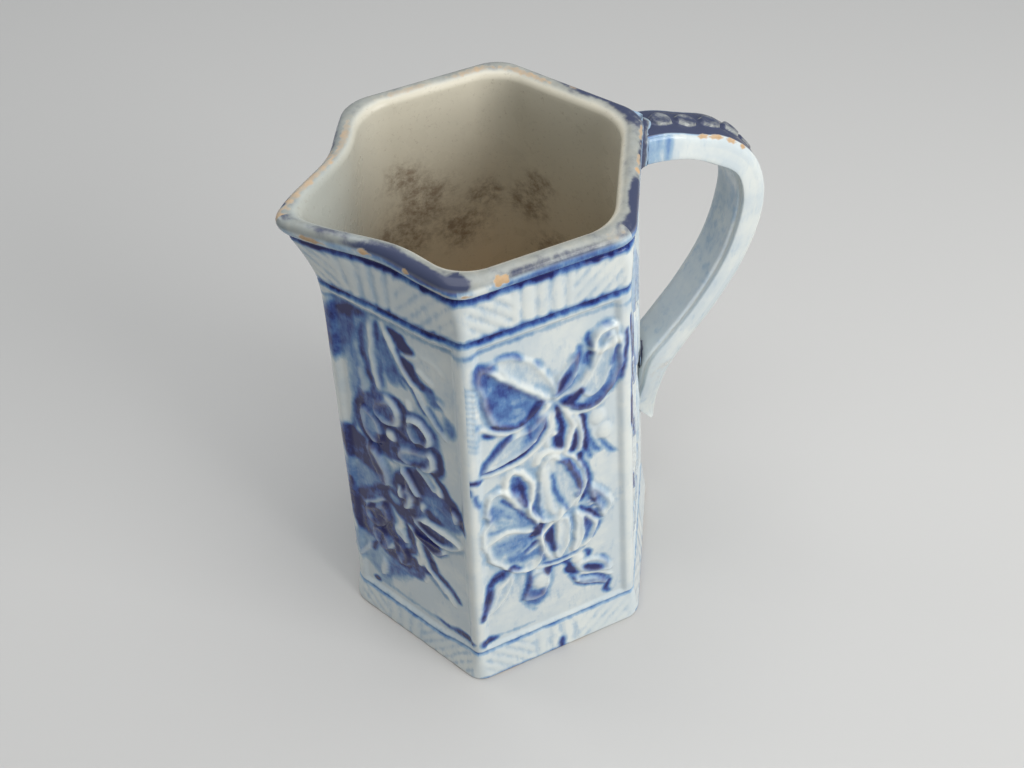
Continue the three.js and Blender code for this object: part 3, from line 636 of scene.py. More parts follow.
    # Stems between the leaves and the peony
    f.wash(1.6, 119.6, 3.2, 116.6, 4.4, 111, 4.2, 105, 3.1, 101, 1.2, 101.6, 0.8, 105.6, 2.3, 110.6,
           1.6, 115, blue=1.0, soft=0.7)
    f.wash(7.6, 107.4, 8, 102, 7.6, 98.4, 5.8, 97.8, 5.8, 100.4, 6.6, 104, blue=1.0, soft=0.7)
    f.wash(8.4, 112.6, 10.4, 110.6, 10.6, 105, 11.2, 99.6, 11, 95.6, 9.6, 97, 9.2, 103, 9, 108.6, blue=0.97,
           soft=0.8)
    f.stroke(10.8, 104, 11.6, 100, 12.8, 96.6, 15, 93.6, wide=1.7, blue=0.62)
    f.ridge(3.2, 118.2, 5.5, 113.6, 6.6, 109.6, 5.9, 105.6, 4.8, 102, 4.2, 98.6, wide=2.1, high=0.9,
            cream=0.8)
    f.stroke(6.4, 113.4, 7.8, 109.6, wide=0.7, blue=0.5)
    f.ridge(6.8, 113.2, 8.4, 108.6, 8.9, 104, 8.6, 97.8, wide=1.5, high=0.9, cream=0.8)
    f.ridge(-0.6, 118.4, -0.2, 112, -1.2, 107, -0.8, 103.6, wide=1.5, high=0.5, cream=0.5)
    # Painted highlight: a small raised drop in full cream on the dark stem
    f.bead(1.1, 108.2, 0.9, high=0.6, cream=1.0)
    f.bead(13.8, 108.6, 2.4, 3.4, high=0.7, cream=0.35)
    f.bead(16, 101.6, 2.4, 3.4, high=0.7, cream=0.35)
    f.stroke(14.6, 99, 16.5, 95.4, 18, 92.8, 19.6, 91, wide=1.4, blue=0.52)
    peony(f)
    lower_leaves(f)


def peony(f):
    """The full flower: outer petals, a curled loop, a ribbon fold and the tall top petal"""
    f.lobe(-15.1, 94, -18.4, 93.2, -20.4, 90, -21, 85.5, -20.2, 82.2, -22, 78.6, -22.7, 73, -21.8, 67,
           -20.6, 61.8, -17.8, 57.6, -15.4, 53.8, -11.6, 50.6, -7.4, 49.8, -4.6, 52, -3, 58, -3.4, 66,
           -5, 76, -7.6, 84, -10.6, 90, level=1.2, blue=0.07, cream=0.85, dish=0.55, rim=0.55)
    f.stroke(-22.6, 96, -22.4, 92.6, -21.6, 90, wide=1.6, blue=0.6)
    f.wash(-19.8, 87.6, -16.6, 87, -15, 84, -16.4, 81.4, -19.2, 81.6, blue=0.42, soft=2.6)
    f.stroke(-19.4, 82, -17.6, 83.4, wide=1.4, blue=0.66)
    f.stroke(-19.8, 76.4, -17.4, 75.6, -14.6, 76, wide=1.6, blue=0.38)
    f.wash(-19.6, 69, -13, 71, -7, 69.4, -7, 65.4, -12, 62.4, -18, 63.4, blue=0.24, soft=2.6)
    f.wash(-14.6, 69.6, -8, 70, -5.4, 67.4, -8.4, 65, -13.4, 65.4, blue=0.42, soft=2.4)
    f.wash(-15.6, 60.6, -10, 61.4, -5, 59.4, -6, 56.4, -12, 56.6, blue=0.46, soft=2.6)
    for u, z, blue in ((-17.6, 80.6, 0.3), (-15.4, 82.6, 0.42), (-13, 82.6, 0.36), (-17, 77.6, 0.3)):
        f.stroke(u, z, mix(u, -5, 0.45), mix(z, 71.5, 0.5), -6.6, 72.6, wide=1.0, blue=blue, cut=0.25)
    for u, z in ((-17.4, 68.4), (-15.6, 64.6), (-12.4, 61.6)):
        f.stroke(u, z, mix(u, -5, 0.5), mix(z, 67, 0.4), -6, 66.8, wide=1.2, blue=0.45, cut=0.25)
    f.ridge(-20.6, 71, -17.8, 72.8, -14.7, 73.5, -11.6, 72.4, -8.9, 70.8, -6.2, 69.8, wide=1.7, high=0.6,
            cream=0.75)
    f.ridge(-9.6, 59.4, -7, 61, -4.6, 63.6, wide=1.2, high=0.4, cream=0.6)
    f.stroke(-15.2, 89.2, -13.8, 87.2, -12.2, 84.8, wide=1.8, blue=0.82)
    f.stroke(-12.4, 85.4, -10.2, 81.2, -8.4, 77.8, -6.4, 74.4, -4.2, 71.2, wide=1.4, blue=0.85)
    f.stroke(-10.2, 60, -8, 61.6, -5.2, 64.6, wide=1.5, blue=0.8)
    f.stroke(-15.4, 55.6, -13.2, 54.9, -11.2, 53, wide=2.1, blue=0.88)
    # Petal in the middle and the two on the right of the fold
    f.lobe(-4.4, 95, -2.4, 99.6, 0.4, 101, 3.4, 98, 6.4, 93, 8.6, 87.4, 9.4, 83, 8.2, 77.8, 6, 73.4, 2, 71,
           -2.6, 70.4, -5, 75, -4.8, 84, level=1.1, blue=0.06, dish=0.4)
    f.stroke(2, 97, 4.4, 94.8, 5.9, 91.4, 7.1, 87.6, 8.2, 84, 8.7, 80.4, wide=2.6, blue=0.8)
    f.stroke(5.4, 92.6, 6.8, 88.6, 8, 84.6, wide=2.2, blue=0.85)
    f.stroke(0.1, 92, 0.5, 86, 1.6, 81, 2.9, 77.4, 4.4, 74.2, 5, 71.6, wide=1.6, blue=0.56)
    f.stroke(-4.2, 91, -4.8, 85.4, -4.6, 80.6, -3.4, 76.6, wide=1.5, blue=0.52)
    f.stroke(-6.1, 80.4, -5.4, 77, -3.4, 73.4, wide=1.3, blue=0.85)
    f.ridge(-2.2, 97, -2, 91, -1.6, 84, -0.8, 78, 0.6, 73.2, wide=2.4, high=0.5, cream=0.45)
    f.bead(7.8, 79, 1.3, high=0.5, cream=0.0, blue=0.95)
    # Painted highlight: a small cream drop on the dark bubble
    f.bead(7.6, 79.2, 0.4, high=0.6, cream=1.0)
    # The top edge is a real ridge, but its full cream and its width are partly a painted highlight
    f.ridge(-5, 97.8, -3.6, 100.6, -1.4, 102, 1, 101.4, 3.4, 99.4, wide=2.3, high=0.9, cream=1)
    f.ridge(3, 99.6, 5.8, 96.6, 7.6, 93.6, 9, 90.6, 10, 87.4, 10.3, 83.6, 9.6, 79.6, 8.2, 75.8, 6.6, 72.8,
            wide=1.2, high=0.8, cream=0.85)
    f.stroke(9.2, 94, 9.8, 90.6, 10.9, 87, 11.5, 83.4, 11, 79.6, 9.9, 76.6, 8.8, 74.2, wide=1.5, blue=0.82,
             cut=0.3)
    f.bead(8.6, 94.8, 1.2, 2.0, high=0.0, blue=1.0, cream=0.0)
    f.stroke(11.2, 96, 11.9, 92.4, wide=1.5, blue=0.6)
    # Curled loop on the left of the middle petal
    f.wash(-11.6, 96.4, -9, 95.4, -7.4, 90.6, -7.4, 85, -8.6, 82, -10.6, 86, -12.2, 91.6, blue=0.64,
           soft=1.3)
    f.stroke(-9.2, 91, -8.4, 87, -8.4, 82.6, wide=2.0, blue=0.9)
    f.ridge(-9.4, 80.6, -10.6, 84, -12.2, 87.6, -13.4, 90.9, -13.8, 94, -13, 97.2, -11.2, 99, -9.5, 98,
            -7.6, 95.2, -6.1, 91.7, -5.8, 87.8, -6.6, 83.6, -7.3, 80.8, -6.8, 77.8, -5.4, 75.2, -3.6, 72.6,
            -1.8, 70.6, wide=2.0, high=0.95, cream=0.85)
    # Heart of the flower and its ribbon fold
    f.wash(-5.4, 72, -2.4, 71, -3.4, 68.2, -5.4, 66.6, -7.8, 66.8, -7, 68.8, blue=0.95, soft=1.0)
    f.lobe(0.6, 69.6, 3.2, 71.4, 5.6, 68.6, 6, 62, 5, 55.6, 3, 51, 0.2, 50.6, -0.6, 56, 0.2, 62,
           level=1.1, blue=0.05)
    f.lobe(6.4, 70, 8.8, 69.6, 10.2, 64, 10.2, 57, 8.4, 51.6, 5.4, 50.8, 6, 57, 6.4, 63,
           level=1.1, blue=0.05)
    f.wash(-0.2, 68, -1.8, 65.6, -3, 62, -1.8, 59, -0.6, 55, 0.8, 56.4, 0.2, 61, blue=0.86, soft=1.0)
    f.wash(-0.8, 65, -2.6, 62.4, -1.6, 60, -0.2, 61.6, blue=1.0, soft=0.9)
    f.stroke(-4.9, 63, -4.6, 59, -3.9, 55.6, -3.2, 51.4, wide=1.4, blue=0.66)
    f.ridge(3, 76.6, 2.4, 74, 1.2, 71.6, -0.4, 69.6, -2.6, 67.4, -4, 65.2, -3.9, 61.6, -3.1, 58, -2.3, 54.8,
            -1, 50.8, wide=1.9, high=0.9, cream=0.9)
    f.stroke(5.7, 71.4, 5.6, 66, 5.6, 61, 6.2, 56.6, wide=0.9, blue=0.5)
    f.wash(9.4, 67.4, 11.4, 65, 12.8, 61, 12, 56, 10.4, 54, 10, 60, blue=0.74, soft=1.2)
    f.ridge(8.8, 68.4, 11.4, 65.4, 13.3, 62, 13.8, 58.6, 13.2, 55.8, 11.5, 52.8, 8.8, 50.6,
            wide=1.4, high=0.8, cream=0.9)
    # Right petal, small raised drops on it in cream as painted highlights, and the dark hollow between them
    f.lobe(11.8, 81.2, 14.9, 77.4, 17.2, 74, 18.9, 71, 19.4, 67.6, 18.4, 64.4, 16, 61.6, 14.6, 66, 12.4, 72,
           11.2, 77, level=1.0, blue=0.16, cream=0.9, dish=0.5)
    f.wash(11, 79.6, 14, 77, 16.6, 72.4, 16.8, 68, 14.6, 65.4, 11.6, 70, 10.6, 74, blue=0.46, soft=2.0)
    f.stroke(12.4, 73.6, 13.4, 72, wide=2.6, blue=0.85)
    for u, z in ((12.2, 71), (13.2, 68.6), (12.8, 67.2), (11.4, 72.4)):
        f.bead(u, z, 0.6, high=0.6, cream=0.9)
    f.stroke(8.6, 71.6, 10.6, 69, 13, 66, 15.4, 62, wide=1.8, blue=0.92)
    f.stroke(15.2, 60.6, 14.4, 57.2, 12.6, 53.6, wide=1.3, blue=0.7)
    # Rim under the flower
    f.stroke(-3.8, 50, -1, 49.1, 3.3, 48.7, 7.4, 49.2, 9.8, 50.4, wide=0.9, blue=0.85)
    f.ridge(-6.6, 49.6, -3, 48.2, 0.6, 47.5, 3.6, 47.3, 6.7, 48, 9.8, 50, wide=1.1, high=0.6, cream=0.9)
    f.stroke(-3.6, 47.2, 0.6, 46.4, 5.6, 46.4, wide=1.0, blue=0.85)


def lower_leaves(f):
    """Leaves and a drooping bud under the peony"""
    f.lobe(-14, 53, -18, 49.4, -20.8, 45.4, -22.6, 40, -25, 33, -20.4, 34.6, -17, 38.6, -14.6, 43.4,
           -13.2, 48, level=0.7, blue=0.05)
    f.wash(-14.6, 55.4, -18.4, 55, -21, 51.6, -20.6, 49, -17, 50, -14.6, 52, blue=0.7, soft=1.6)
    f.stroke(-15, 54, -18, 52.4, -20.6, 50, -21.6, 46, -22.4, 42, -23.6, 38, -25, 33, wide=3.2, blue=0.85)
    f.ridge(-15.4, 50.6, -18, 45.6, -20, 40, -22.4, 35.6, wide=0.9, high=0.4, cream=0.4)
    f.lobe(-8.2, 48.6, -9.2, 43.8, -10, 39.6, -11.6, 35, -8.6, 32.8, -4, 32.4, -2.2, 36.6, -1.4, 42,
           -2.6, 47, level=0.8, blue=0.08, dish=0.1)
    f.wash(-10.6, 38.6, -6, 37.6, -2.4, 36.8, -3.2, 31.4, -6.4, 28.4, -10, 31.6, blue=0.5, soft=2.6)
    f.stroke(-8.2, 49, -8.5, 45, -8.9, 41, -10, 37.6, -11.6, 34, wide=2.3, blue=0.66)
    f.stroke(-9, 39, -7.4, 37.4, -5.4, 35.6, -4.6, 33, wide=2.0, blue=0.55)
    f.bead(-5.2, 42.4, 2.5, 4.0, high=0.7, cream=0.35)
    # Painted highlights: small raised drops in cream on the pale bud
    for u, z in ((-2.9, 43), (-2.7, 40), (-4.2, 38.8)):
        f.bead(u, z, 0.6, high=0.5, cream=0.9)
    f.wash(-4, 47.4, -1.2, 46.8, -1.4, 43.4, -2.8, 44, blue=0.95, soft=0.8)
    f.stroke(-11, 33, -9.4, 29, -7, 26, wide=1.2, blue=0.22)
    f.stroke(3.2, 46.8, 5, 44, 4.8, 41, 6.5, 39, 8.2, 36.6, wide=2.2, blue=0.95)
    f.wash(3.4, 42.4, 5.4, 42.8, 6.8, 40, 5.8, 38.6, 4, 40, blue=1.0, soft=0.9)
    f.bead(7.8, 45.2, 1.8, 2.6, high=0.7, cream=0.6)
    f.stroke(10.4, 48.4, 11.6, 46.4, 11.2, 44.4, wide=1.8, blue=0.72)
    f.lobe(6.6, 42, 10.6, 43.4, 14.4, 42.6, 17.4, 39.4, 19.2, 36, 20, 31.6, 16.6, 32.6, 12, 35.2, 8.6, 37.4,
           level=0.8, blue=0.12)
    f.wash(9.6, 40.2, 12.4, 39.8, 16, 36.6, 16.6, 34.2, 13.4, 35.2, 10.4, 37.4, blue=0.84, soft=1.6)
    f.stroke(16, 42, 17.4, 38.8, 18.2, 36, wide=1.2, blue=0.4)
    f.ridge(7.6, 37, 11.7, 34.9, 15, 33, 17.6, 30.8, 20, 28, wide=1.2, high=0.7, cream=0.8)
    f.lobe(5.2, 37.6, 6.6, 33, 8.6, 30.4, 11.4, 28, 15, 26.6, 18, 24, 17.6, 27.8, 13.6, 31.4, 9.4, 33.6,
           level=0.7, blue=0.42)
    f.wash(15, 30.4, 19, 28.4, 19, 25.4, 15.4, 26.8, blue=0.5, soft=1.8)
    f.stroke(5.4, 38, 6.6, 34.2, 8.3, 31, 10.8, 28.6, 14.2, 26.8, 17.3, 24.3, wide=1.7, blue=0.72)
    f.stroke(8, 34.4, 11.6, 33.6, 15, 31.2, 18, 28.4, 19.6, 25.4, wide=1.3, blue=0.6)
    f.bead(7.4, 33.6, 0.6, high=0.5, cream=0.9)
    f.stroke(19.6, 25.6, 18.2, 23, 17.9, 20.8, 19.4, 18, wide=2.1, blue=0.82)
    f.wash(-26, 21.4, -22.4, 21, -20, 19.4, -22, 17.6, -26, 17.6, blue=0.75, soft=1.8)
    f.wash(-21, 19.8, -14, 19.6, -8, 19.2, -8, 18.4, -14, 18.4, blue=0.3, soft=1.6)
    f.bead(1, 3.1, 1.2, 3.2, high=0.0, cream=0.0, blue=0.85)


def iris_face(f):
    """The two spout walls: a flag iris on tall stems over slender leaves, heavily washed in cobalt"""
    # Broad washes behind the stems
    f.wash(-24, 138, -19.4, 142.4, -13, 143.8, -9, 142.6, -12, 138, -14, 132, -18, 126, -22.6, 120,
           -25, 128, blue=0.55, soft=3.4)
    f.wash(-17, 128, -13.6, 126, -13.4, 112, -16.6, 106, -18.6, 112, -18, 122, blue=0.3, soft=3.0)
    f.stroke(-14.6, 116, -16, 108, -18, 100, -19.6, 94, wide=3.2, blue=0.6)
    f.wash(-19.4, 139.2, -16, 142.4, -10.6, 143.8, -11, 141.6, -14.6, 139.4, blue=0.96, soft=1.5)
    f.stroke(-20, 138, -22.6, 133, -24, 128, -24.6, 122, wide=3.4, blue=0.62)
    f.stroke(-15, 136, -18, 131, -20, 126, wide=3.0, blue=0.46)
    f.wash(-12.8, 140, -5, 141, -5, 134, -6, 118, -10.6, 116, -13, 124, blue=0.3, soft=2.4)
    f.stroke(-11.6, 138.6, -12.4, 131, -11.4, 124, -10, 118, -10.8, 112.6, wide=2.6, blue=0.74)
    f.stroke(-6.3, 142.6, -6.4, 136, wide=1.7, blue=0.7)
    f.stroke(-6.6, 136, -6.4, 127, -6.6, 119, wide=1.6, blue=0.42)
    f.wash(-4.6, 140, -2, 135.6, -0.6, 131, 0.6, 127, -2, 122, -5, 126, -5.2, 134, blue=0.38, soft=2.0)
    f.stroke(-4.2, 138, -2.6, 132, -1, 127, 1.6, 123.6, wide=2.2, blue=0.5)
    f.stroke(1, 127.6, 4.4, 124.2, 6.4, 121, 7.8, 118, wide=1.8, blue=0.6)
    f.stroke(-15.2, 124, -14.4, 118, -15, 111, wide=2.2, blue=0.4)
    f.ridge(-13.8, 122, -13.4, 117, -13.8, 111, wide=2.2, high=0.4, cream=0.16, blue=0.16)
    # The dark notches beside the long leaf run on into one another
    f.wash(-3, 143, 2, 142.6, 3.2, 140.6, 5.4, 139, 4.4, 137, 1.4, 137.2, -0.4, 138.4, -1.6, 140.6,
           blue=1.0, soft=1.1)
    f.stroke(0.4, 137.6, 0.4, 135.6, wide=1.6, blue=0.9)
    f.wash(0.6, 135.2, 4.8, 134.6, 5.6, 132.2, 7, 130, 9.4, 129.4, 11, 129.2, 10.4, 127.6, 7, 127,
           4.6, 128.6, 2, 131.4, blue=0.97, soft=1.0)
    f.stroke(4.6, 128.8, 7.4, 127.4, 10.6, 128.2, wide=1.8, blue=0.95)
    f.wash(8.4, 127.4, 12.6, 127.6, 14, 124, 11, 122.6, 9.4, 123.6, blue=0.4, soft=2.2)
    f.stroke(9.6, 121.6, 11.2, 118.6, 13.4, 115.8, wide=2.4, blue=0.48)
    f.wash(13.8, 122.2, 16.6, 120.8, 18, 117, 16.4, 114.4, 14.6, 117, blue=0.34, soft=2.2)
    f.ridge(2.6, 136.2, 4.2, 136.9, 5.9, 137.4, wide=1.4, high=0.7, cream=0.9)
    f.ridge(6.2, 133.8, 8.2, 132.2, 11.4, 131, wide=2.0, high=0.7, cream=0.6)
    f.ridge(7.2, 138.4, 11, 139, 15.4, 136, wide=1.8, high=0.3, cream=0.12)
    f.ridge(12.4, 126.6, 14.6, 124.6, 16.4, 122.6, wide=1.6, high=0.4, cream=0.4)
    f.ridge(-8.3, 142.4, -8.6, 135, -8.9, 128, -8.2, 122, -7.5, 116.8, wide=1.9, high=0.95, cream=0.62)
    f.ridge(-4, 142.2, -1.8, 137, 0.6, 132, 2.8, 129, 5.2, 125.6, wide=1.7, high=0.95, cream=0.5)
    f.ridge(4.6, 126.4, 7.6, 121.4, 11.2, 116.7, 15.6, 112.2, wide=1.8, high=0.8, cream=0.3, blue=0.1)
    f.bead(2.5, 117.8, 1.3, 2.0, high=0.9, cream=0.8)
    iris_bloom(f)
    iris_leaves(f)


def iris_bloom(f):
    """Arched upper petals, a bead at the heart and the falls of the flower"""
    f.wash(-10.6, 114, -6, 117, -1, 117.6, 2, 115.6, 7, 116.2, 11.6, 112, 12.2, 105.6, 13.2, 102, 12.6, 95,
           8, 94, -7, 88.6, -14, 90.4, -18.4, 99, -17.6, 107, -14, 112, blue=0.62, soft=2.0)
    f.stroke(-14.4, 112.6, -14.8, 108, -15.4, 103, wide=3.2, blue=0.85)
    f.lobe(-15.6, 106, -12.4, 106, -9.6, 103.6, -8, 99, -8.6, 94.4, -12.4, 92.6, -15.4, 96, -16.4, 101,
           level=0.9, blue=0.42, dish=0.3)
    f.wash(-14, 102, -10, 103, -8.6, 99, -10.4, 96.4, -14, 98, blue=0.26, soft=2.4)
    f.stroke(-16.6, 107, -17.4, 101, -16.4, 95, -14, 91.4, wide=2.6, blue=0.88)
    f.wash(-10.4, 97.6, -6.6, 98.6, -6.4, 94.6, -7.4, 91, -10.4, 91.4, blue=1.0, soft=1.6)
    f.lobe(-11, 109, -8.6, 113.4, -4.6, 115.4, -1.8, 113.4, -1.4, 109.6, -3, 106, -6.6, 104.2, -10, 105.6,
           level=1.1, blue=0.5, dish=0.6)
    f.wash(-10, 109.6, -8, 112.8, -5, 112.8, -3.6, 109.8, -5, 107, -8.8, 106.8, blue=0.8, soft=1.4)
    f.wash(-8, 107, -4.6, 107, -5, 104.6, -8.4, 104.6, blue=0.34, soft=1.4)
    f.ridge(-6.2, 115.6, -4, 115.6, -2.4, 114.2, -1.3, 111.4, -1.8, 107.8, -3.6, 105.4, wide=1.8, high=0.9,
            cream=0.75)
    f.stroke(-2.4, 117.2, -0.2, 115.6, 0.4, 113, wide=2.4, blue=1.0)
    f.stroke(0.4, 114, 0.1, 110, 0.1, 106, wide=1.9, blue=0.86)
    f.lobe(1.4, 112.6, 4.2, 114.8, 8, 113.8, 10, 110.4, 9.6, 106.4, 7, 104.8, 3.4, 104.8, 1.4, 107.6,
           level=1.1, blue=0.46, dish=0.6)
    f.wash(3.6, 112, 6, 112.2, 8, 109.6, 7.6, 106.4, 5.6, 107.6, blue=1.0, soft=1.2)
    f.ridge(1.8, 111.8, 4, 114, 7.2, 113.4, 9.2, 110.6, 9.3, 107.4, 7.8, 105.4, wide=1.7, high=0.9,
            cream=0.75)
    f.ridge(1.8, 109.6, 1.6, 107.2, 3.2, 105.4, 5.6, 105.2, wide=1.7, high=0.6, cream=0.3, blue=0.18)
    f.stroke(-7.4, 103.4, -3.5, 103.8, 0, 102.8, 4, 103.4, 8, 105.4, 11.2, 105.4, 12.4, 102, 12.2, 97,
             10, 94.6, wide=2.3, blue=0.95)
    f.lobe(-2.4, 97.6, 2, 100.6, 6, 102.4, 8.6, 103.9, 10.5, 102, 10.4, 98, 8.5, 95.2, 5.5, 94, 2.5, 93,
           0, 92.2, -3.4, 93.4, level=1.1, blue=0.36, dish=0.35)
    f.wash(-1.4, 98.6, 2, 100.2, 2.6, 97, -0.4, 95.6, blue=0.2, soft=2.0)
    f.stroke(8.2, 101, 7.4, 98, 4.8, 95.6, 1.4, 93.4, wide=2.4, blue=0.82)
    f.wash(-6, 95, -1, 93.6, -0.6, 91.4, -5, 91, blue=0.8, soft=1.6)
    f.ridge(8.2, 103.9, 9.9, 102, 10, 98.4, 8, 95.6, 5.8, 94.6, wide=1.5, high=0.8, cream=0.85)
    f.ridge(1.4, 92.4, -0.6, 90.8, -3, 89.8, -6.2, 89.4, wide=1.0, high=0.6, cream=0.6)
    f.stroke(-6.8, 103.4, -7, 100.6, -6.2, 98.2, wide=1.5, blue=0.95)
    f.bead(-5.1, 100.3, 1.9, 2.2, high=1.2, cream=0.9)
    # The falls: a long petal on the left, curved ones on the right
    f.wash(-15.6, 91, -20, 92.6, -24, 91, -24.8, 85.6, -23, 80, -18.6, 76.8, -13, 74.8, -10.4, 75,
           -13.6, 82, -14.8, 87, blue=0.8, soft=2.4)
    f.wash(-19.4, 93, -24, 92.4, -25, 85, -23.4, 78, -19.4, 79, -18.6, 86, blue=0.9, soft=2.8)
    f.lobe(-15, 90.6, -12.2, 91.4, -9, 86.8, -7, 81.6, -7, 77.4, -9, 74.8, -11.6, 76.8, -13.8, 82,
           -15.4, 87, level=1.3, blue=0.82, dish=0.0)
    f.ridge(-13, 90, -10.6, 86.4, -8.6, 82.4, -7.8, 79, -7.8, 76.6, wide=2.2, high=0.4, cream=0.12,
            blue=0.3)
    f.wash(-6.4, 81, -4.4, 85, -1, 89.4, 3.4, 92, 8, 90.4, 10, 86, 8, 82.6, 5, 80, 5.6, 74, 3, 68.6,
           -3, 67.6, -6.4, 72, blue=0.82, soft=1.8)
    f.wash(8, 95.4, 12.6, 93, 15.2, 89, 18.2, 86, 20.4, 80, 20.6, 76.6, 17.6, 78, 14, 84, 12, 85.6,
           12.6, 89, blue=1.0, soft=1.3)
    f.wash(7, 89.6, 9.4, 87, 14.4, 85, 15.4, 80.4, 10, 79, 6, 82, blue=0.72, soft=1.8)
    f.lobe(-3, 88.8, -0.6, 88.6, 2, 85, 4, 81.2, 4, 79.6, 1.6, 81, -1.4, 84.4, level=1.0, blue=0.42)
    f.ridge(-2.6, 89, -0.4, 86.8, 1.6, 84, 3.1, 81.6, 3.7, 79.8, wide=1.9, high=0.8, cream=0.4, blue=0.12)
    f.ridge(3, 93, 5.4, 91.8, 7.4, 89.8, 8.6, 87.8, 10, 87, wide=1.5, high=0.9, cream=0.55, blue=0.1)
    f.bead(11.5, 87.7, 1.6, 1.5, high=1.0, cream=0.6)
    f.wash(6, 82, 12, 83, 18, 79, 18.4, 75, 14, 72, 9, 71.4, 4.6, 73, blue=0.4, soft=2.6)
    f.lobe(15.2, 84.2, 17.2, 84.6, 18.9, 81.6, 18.3, 79, 16.8, 77.8, 15.6, 81, level=1.1, blue=0.14,
           cream=0.3)
    f.stroke(18.4, 80, 19.4, 78, 20.4, 76, wide=1.8, blue=0.9)
    f.lobe(-1.2, 84, 0.6, 82.4, 2.2, 79, 1.6, 75.4, 0.2, 72, -1.8, 70.1, -3.2, 71.5, -2.2, 74.4, -4.2, 74,
           -4.9, 76.5, -3, 79.4, -1.6, 80.8, level=1.3, blue=0.4, dish=0.1)
    f.ridge(0.9, 78.6, 0.6, 75.4, -0.4, 72.6, -1.6, 70.8, wide=1.6, high=0.4, cream=0.6)
    f.ridge(-3.8, 79, -3.6, 76.6, -3.4, 74.8, wide=1.8, high=0.3, cream=0.5)
    f.stroke(-1.7, 80, -1.4, 76, -2, 73.4, wide=1.0, blue=0.7)
    f.bead(4.8, 75.4, 1.1, 2.5, high=0.9, cream=0.75)
    f.stroke(6.4, 78, 10, 79.4, 13, 78, wide=1.6, blue=0.5)
    f.wash(5.6, 76, 9, 75.4, 12.6, 73, 9, 71.8, 5.4, 72.6, blue=0.88, soft=1.4)


